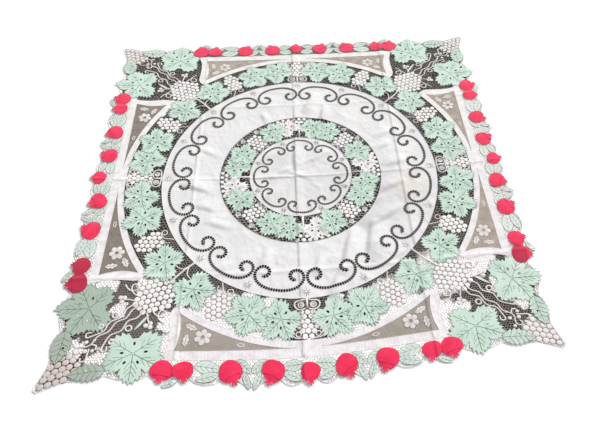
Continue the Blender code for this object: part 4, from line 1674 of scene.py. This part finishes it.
for quarter in range(4):
    start = 90 * quarter
    for inside, outside in AXIS_BARS:
        bar = turned([(0, inside), (0, (inside + outside) / 2), (0, outside)], start)
        add_cord(tendrils, bar, AXIS_BAR_HALF, 0.9, sides=6, flat=0.3)
    diagonal = start + DIAGONAL
    stem = [polar(RING_R - 2, diagonal), polar(466, diagonal + 0.4), polar(512, diagonal)]
    add_tendril(stem, STEM_THICK, flat=0.4)
    for side in (1, -1):
        add_side_tendril(STEM_TENDRIL, diagonal, side)
        for radius, line in AXIS_TENDRILS:
            add_tendril(turned([(side * x, out) for x, out in line], start), radius)
        for x, out, reach in AXIS_RINGS:
            add_ring(reach, side * x, out, 1.5, angle=start)
        at = start + side * SIDE_TURN
        add_ring(7.5, *polar(441, at - side * 1.2), 1.3)
        for tendril in SIDE_TENDRILS:
            add_side_tendril(tendril, at, side)
        at = start + INNER_TURN
        add_ring(4.6, *polar(166, at + side * 4.6), 1.0, 9)
        add_side_tendril(INNER_STALK, at, side)
        add_ring(4.8, *polar(238, at + side * 7), 1.2, 9)
        for tendril in INNER_TENDRILS:
            add_side_tendril(tendril, at, side)
    for line in CORNER_TENDRILS:
        add_tendril(by_diagonal(line, quarter), CORNER_THICK)
    for out, aside, reach in CORNER_RINGS:
        (x, y), = by_diagonal([(out, aside)], quarter)
        add_ring(reach, x, y, CORNER_RING_THICK)
    for out, aside, radius in CORNER_BERRIES:
        (x, y), = by_diagonal([(out, aside)], quarter)
        add_padding(tendrils, x, y, radius, BERRY_BASE, BERRY_TOP)
    out, aside, length, width, turn = CORNER_BUD
    (x, y), = by_diagonal([(out, aside)], quarter)
    shape = placed(almond(length, width), x, y, start + turn)
    add_cloth(buds, [shape], SPACING["bud"], BUD_BASE, BUD_THICK)
tendrils.lay("tendrils_and_stems", WHITE_THREAD, "bar_thread")
bud_piece = buds.lay("corner_buds", PALE_LINEN, "green_linen")


# Needle-made bars: an uneven honeycomb of threads across every open field


# Edge of a scallop between two fruits: share of the way, how far outside the garlands' line
SCALLOP = ((0, 20), (0.2, 29), (0.5, 33), (0.8, 29), (1, 20))
SCALLOP_UNDER = 6
# Edge from the last fruit to the corner leaflets, then the tip's distance past TIP
CORNER_EDGE = ((378, 612), (396, 623), (452, 625), (484, 613), (496, 622), (556, 622), (572, 620))
TIP_OUT = (-8, 1)
# Length of the bars near the front and along the garlands, then everywhere else; how far a
# knot strays as a share of it, and a bar's radius
FINE_CELL = 4.5
COARSE_CELL = 6.3
CELL_JITTER = 0.31
BAR_RADIUS = 0.72
# The bars of the outer field and the corners are fine where y is below this
FINE_FRONT = -200
# Share of the coarse bars left out beside a leaf, where its teeth stand over open gaps
SPARSE_SHARE = 0.45
# How far from the cloth's middle the garlands' bars go sideways
GARLAND_END = 372
# A cover and a grape hide the knots within these shares of their size
HIDDEN_BY_COVER = 0.92
HIDDEN_BY_GRAPE = 0.85


def scalloped_edge():
    """Outer edge of the cloth from the far left corner's tip to the far right one."""
    half = []
    for (place, radius, _), (following, reach, _) in zip(FRUITS[:3], FRUITS[1:4]):
        start = place + radius - SCALLOP_UNDER
        end = following - reach + SCALLOP_UNDER
        for share, rise in SCALLOP:
            half.append((start + (end - start) * share, GARLAND_LINE + rise))
    half += CORNER_EDGE
    half.append((TIP + TIP_OUT[0], TIP + TIP_OUT[1]))
    return mirrored(half)[::-1] + half


outer_edge = []
for quarter in range(4):
    outer_edge += in_quarter(scalloped_edge(), quarter)
frame_shapes = [in_quarter(frame_shape, quarter) for quarter in range(4)]
bars = {field: Piece() for field in ("inner", "outer", "corner", "garland")}


def knot_fields(spots):
    """Field of bars that each plan point lies in, or None, and whether a motif hides it."""
    radii = np.hypot(spots[:, 0], spots[:, 1])
    open_field = within(spots, [outer_edge])
    for shape in frame_shapes:
        open_field &= ~within(spots, [shape])
    open_field &= radii > CENTRE_EDGE - 3
    open_field &= (radii < INNER_FIELD_R + 3) | (radii > RING_R - 3)
    hidden = np.zeros(len(spots), dtype=bool)
    for places, share in ((covers, HIDDEN_BY_COVER), (grape_places, HIDDEN_BY_GRAPE)):
        for x, y, reach in places:
            hidden |= np.hypot(spots[:, 0] - x, spots[:, 1] - y) < reach * share
    farther = np.abs(spots).max(axis=1)
    nearer = np.abs(spots).min(axis=1)
    fields = []
    for index, radius in enumerate(radii):
        if not open_field[index]:
            fields.append(None)
        elif radius < INNER_FIELD_R + 4:
            fields.append("inner")
        elif radius < OUTER_FIELD_R + 2:
            fields.append("outer")
        elif farther[index] > STRIP_OUTSIDE - 4 and nearer[index] < GARLAND_END:
            fields.append("garland")
        else:
            fields.append("corner")
    return fields, hidden


def add_bars(cell, fine):
    """Bars of an uneven honeycomb on the part of the fields that has cells of this size."""
    jitter = CELL_JITTER * cell
    keys = []
    spots = []
    for i in range(int(TIP * 2 / (cell * ROW_PITCH)) + 4):
        for j in range(int(TIP * 2 / (cell * 1.5)) + 4):
            shift = cell / 2 if (i + j) % 2 else 0
            x = -TIP - 4 + i * cell * ROW_PITCH + chance.uniform(-jitter, jitter)
            y = -TIP - 4 + j * cell * 1.5 + shift + chance.uniform(-jitter, jitter)
            keys.append((i, j))
            spots.append((x, y))
    places = np.array(spots)
    fields, hidden = knot_fields(places)
    beside_leaf = np.zeros(len(spots), dtype=bool)
    for x, y, reach in leaf_surrounds:
        beside_leaf |= np.hypot(places[:, 0] - x, places[:, 1] - y) < reach
    knots = {key: row for key, *row in zip(keys, spots, fields, hidden, beside_leaf)}
    for (i, j), (spot, field, covered, sparse) in knots.items():
        is_fine = field == "garland" or (field != "inner" and spot[1] < FINE_FRONT)
        if field is None or is_fine != fine:
            continue
        for key in [(i + 1, j)] + ([(i, j + 1)] if (i + j) % 2 else []):
            other = knots.get(key)
            if other is None or other[1] is None or (covered and other[2]):
                continue
            if sparse and not fine and chance.random() < SPARSE_SHARE:
                continue
            bar = [spot, other[0]]
            add_cord(bars[field], bar, BAR_RADIUS, BAR_HEIGHT, sides=3, flat=0.6, capped=False)


add_bars(FINE_CELL, True)
add_bars(COARSE_CELL, False)
for field, piece in bars.items():
    node = f"{field}_field" if field in ("inner", "outer") else None
    piece.lay(f"{field}_bars", BAR_THREAD, "bar_thread", node)

rim_cord = Piece()
rim_line = []
for start, end in zip(outer_edge, outer_edge[1:] + outer_edge[:1]):
    steps = max(1, round(math.dist(start, end) / 8))
    dx = end[0] - start[0]
    dy = end[1] - start[1]
    rim_line += [(start[0] + dx * step / steps, start[1] + dy * step / steps) for step in range(steps)]
add_cord(rim_cord, rim_line, RIM_CORD, 0.9, closed=True)
rim_cord.lay("scalloped_edge_cord", WHITE_THREAD, "bar_thread")


# Sizes of the sheets as they were cut, worked out here and not kept


SQUARE_MM = MM * MM
# Side of the square that a leaf is cut from, as a share of its size
LEAF_CUT = 2.2

for frame_linen in frames:
    frame_area * SQUARE_MM
for net, flat_area in nets:
    flat_area * SQUARE_MM
for leaf, flat_area, centres in leaf_rows:
    first = centres[0]
    from_middle = math.hypot(first[0], first[1])
    if from_middle < RING_R:
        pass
    elif from_middle < BAND_R:
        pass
    else:
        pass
    size = first[2] * LEAF_CUT * MM
    long_side = size + math.dist(first[:2], centres[-1][:2]) * MM
    min(flat_area * SQUARE_MM, size * long_side)
for made, flat_area, long_side, wide in garland_rows:
    wide * MM
    long_side * MM
    flat_area * SQUARE_MM


# Floor, the dark table top seen through the openings, light and picture


# Heights of the floor and of the table top, just under the cloth
FLOOR_HEIGHT = -0.0008
GROUND_HEIGHT = -0.0004
# The table top reaches this share of the way to the cloth's edge
GROUND_SHARE = 0.985
# Light of the room; then for each window's light its width and its lean from straight down
ROOM_LIGHT = 0.42
WINDOW_WIDTH = 16
WINDOW_TILT = 61
# Windows: name, strength, turn
WINDOWS = (("window", 2.3, 118), ("far_window", 1.85, 165))


def floor_finish():
    """Plain pale floor."""
    floor = Finish("pale_floor")
    tone = floor.mixed(floor.mottle(3, 2), "#fdfdfd", "#fbfbfb")
    floor.shader.inputs["Emission Strength"].default_value = 0.08
    floor.shader.inputs["Emission Color"].default_value = (1, 1, 1, 1)
    return floor.finish(tone, 0.9, sheen=0.0)


def ground_finish():
    """Dark ground under the middle of the cloth, with painted shade darker still under the linen, pale
    again in places near the front, where it glows a little as painted light.
    """
    ground = Finish("dark_ground")
    tone = ground.mixed(ground.mottle(25, 3), "#453f3a", "#2c2825")
    lighter = ground.near(-470, -450, 150, 0.6)
    tone = ground.mixed(lighter * 0.8, tone, "#6f6660")
    # Painted shade: the ground seen through the linen's openings is darker still
    shade_under_linen = ground.near(-1, -7.5, 418, 0.012) * (1 - ground.near(-1, -7.5, 262, 0.02))
    shade_under_linen = shade_under_linen.above(ground.near(-3, -10.5, 152, 0.03))
    tone = ground.mixed(shade_under_linen, tone, "#171412")
    pale = pale_ground(ground) * (1 - shade_under_linen)
    tone = ground.mixed(pale, tone, "#fbfaf9")
    # The pale places glow a little: painted light, so they show as bright as the floor
    ground.shader.inputs["Emission Strength"].default_value = 0.35
    ground.fill(ground.shader.inputs["Emission Color"], ground.mixed(pale, (0, 0, 0, 1), (1, 1, 1, 1)))
    return ground.finish(tone, 0.9, sheen=0.0)


bpy.ops.object.select_all(action="DESELECT")
bpy.ops.mesh.primitive_plane_add(size=14, location=(0, 0, FLOOR_HEIGHT))
floor = bpy.context.object
floor.name = "floor"
floor.data.materials.append(floor_finish())
ground_data = bpy.data.meshes.new("ground")
spread = np.array(rim_line) * GROUND_SHARE
flat_x, flat_y = pull(spread[:, 0], spread[:, 1])
ground_points = [(x * MM, y * MM, GROUND_HEIGHT) for x, y in zip(flat_x, flat_y)]
ground_data.from_pydata(ground_points, [], [tuple(reversed(range(len(ground_points))))])
ground_data.materials.append(ground_finish())
ground = bpy.data.objects.new("ground", ground_data)
bpy.context.scene.collection.objects.link(ground)

world = bpy.data.worlds.new("soft_room")
world.use_nodes = True
world.node_tree.nodes["Background"].inputs["Color"].default_value = (1, 1, 1, 1)
world.node_tree.nodes["Background"].inputs["Strength"].default_value = ROOM_LIGHT
bpy.context.scene.world = world
for name, strength, turn in WINDOWS:
    lamp = bpy.data.lights.new(name, "SUN")
    lamp.energy = strength
    lamp.angle = math.radians(WINDOW_WIDTH)
    lamp.color = (1, 1, 1)
    window = bpy.data.objects.new(name, lamp)
    window.rotation_euler = [math.radians(angle) for angle in (WINDOW_TILT, 0, turn)]
    bpy.context.scene.collection.objects.link(window)
bpy.context.scene.view_settings.view_transform = "Standard"
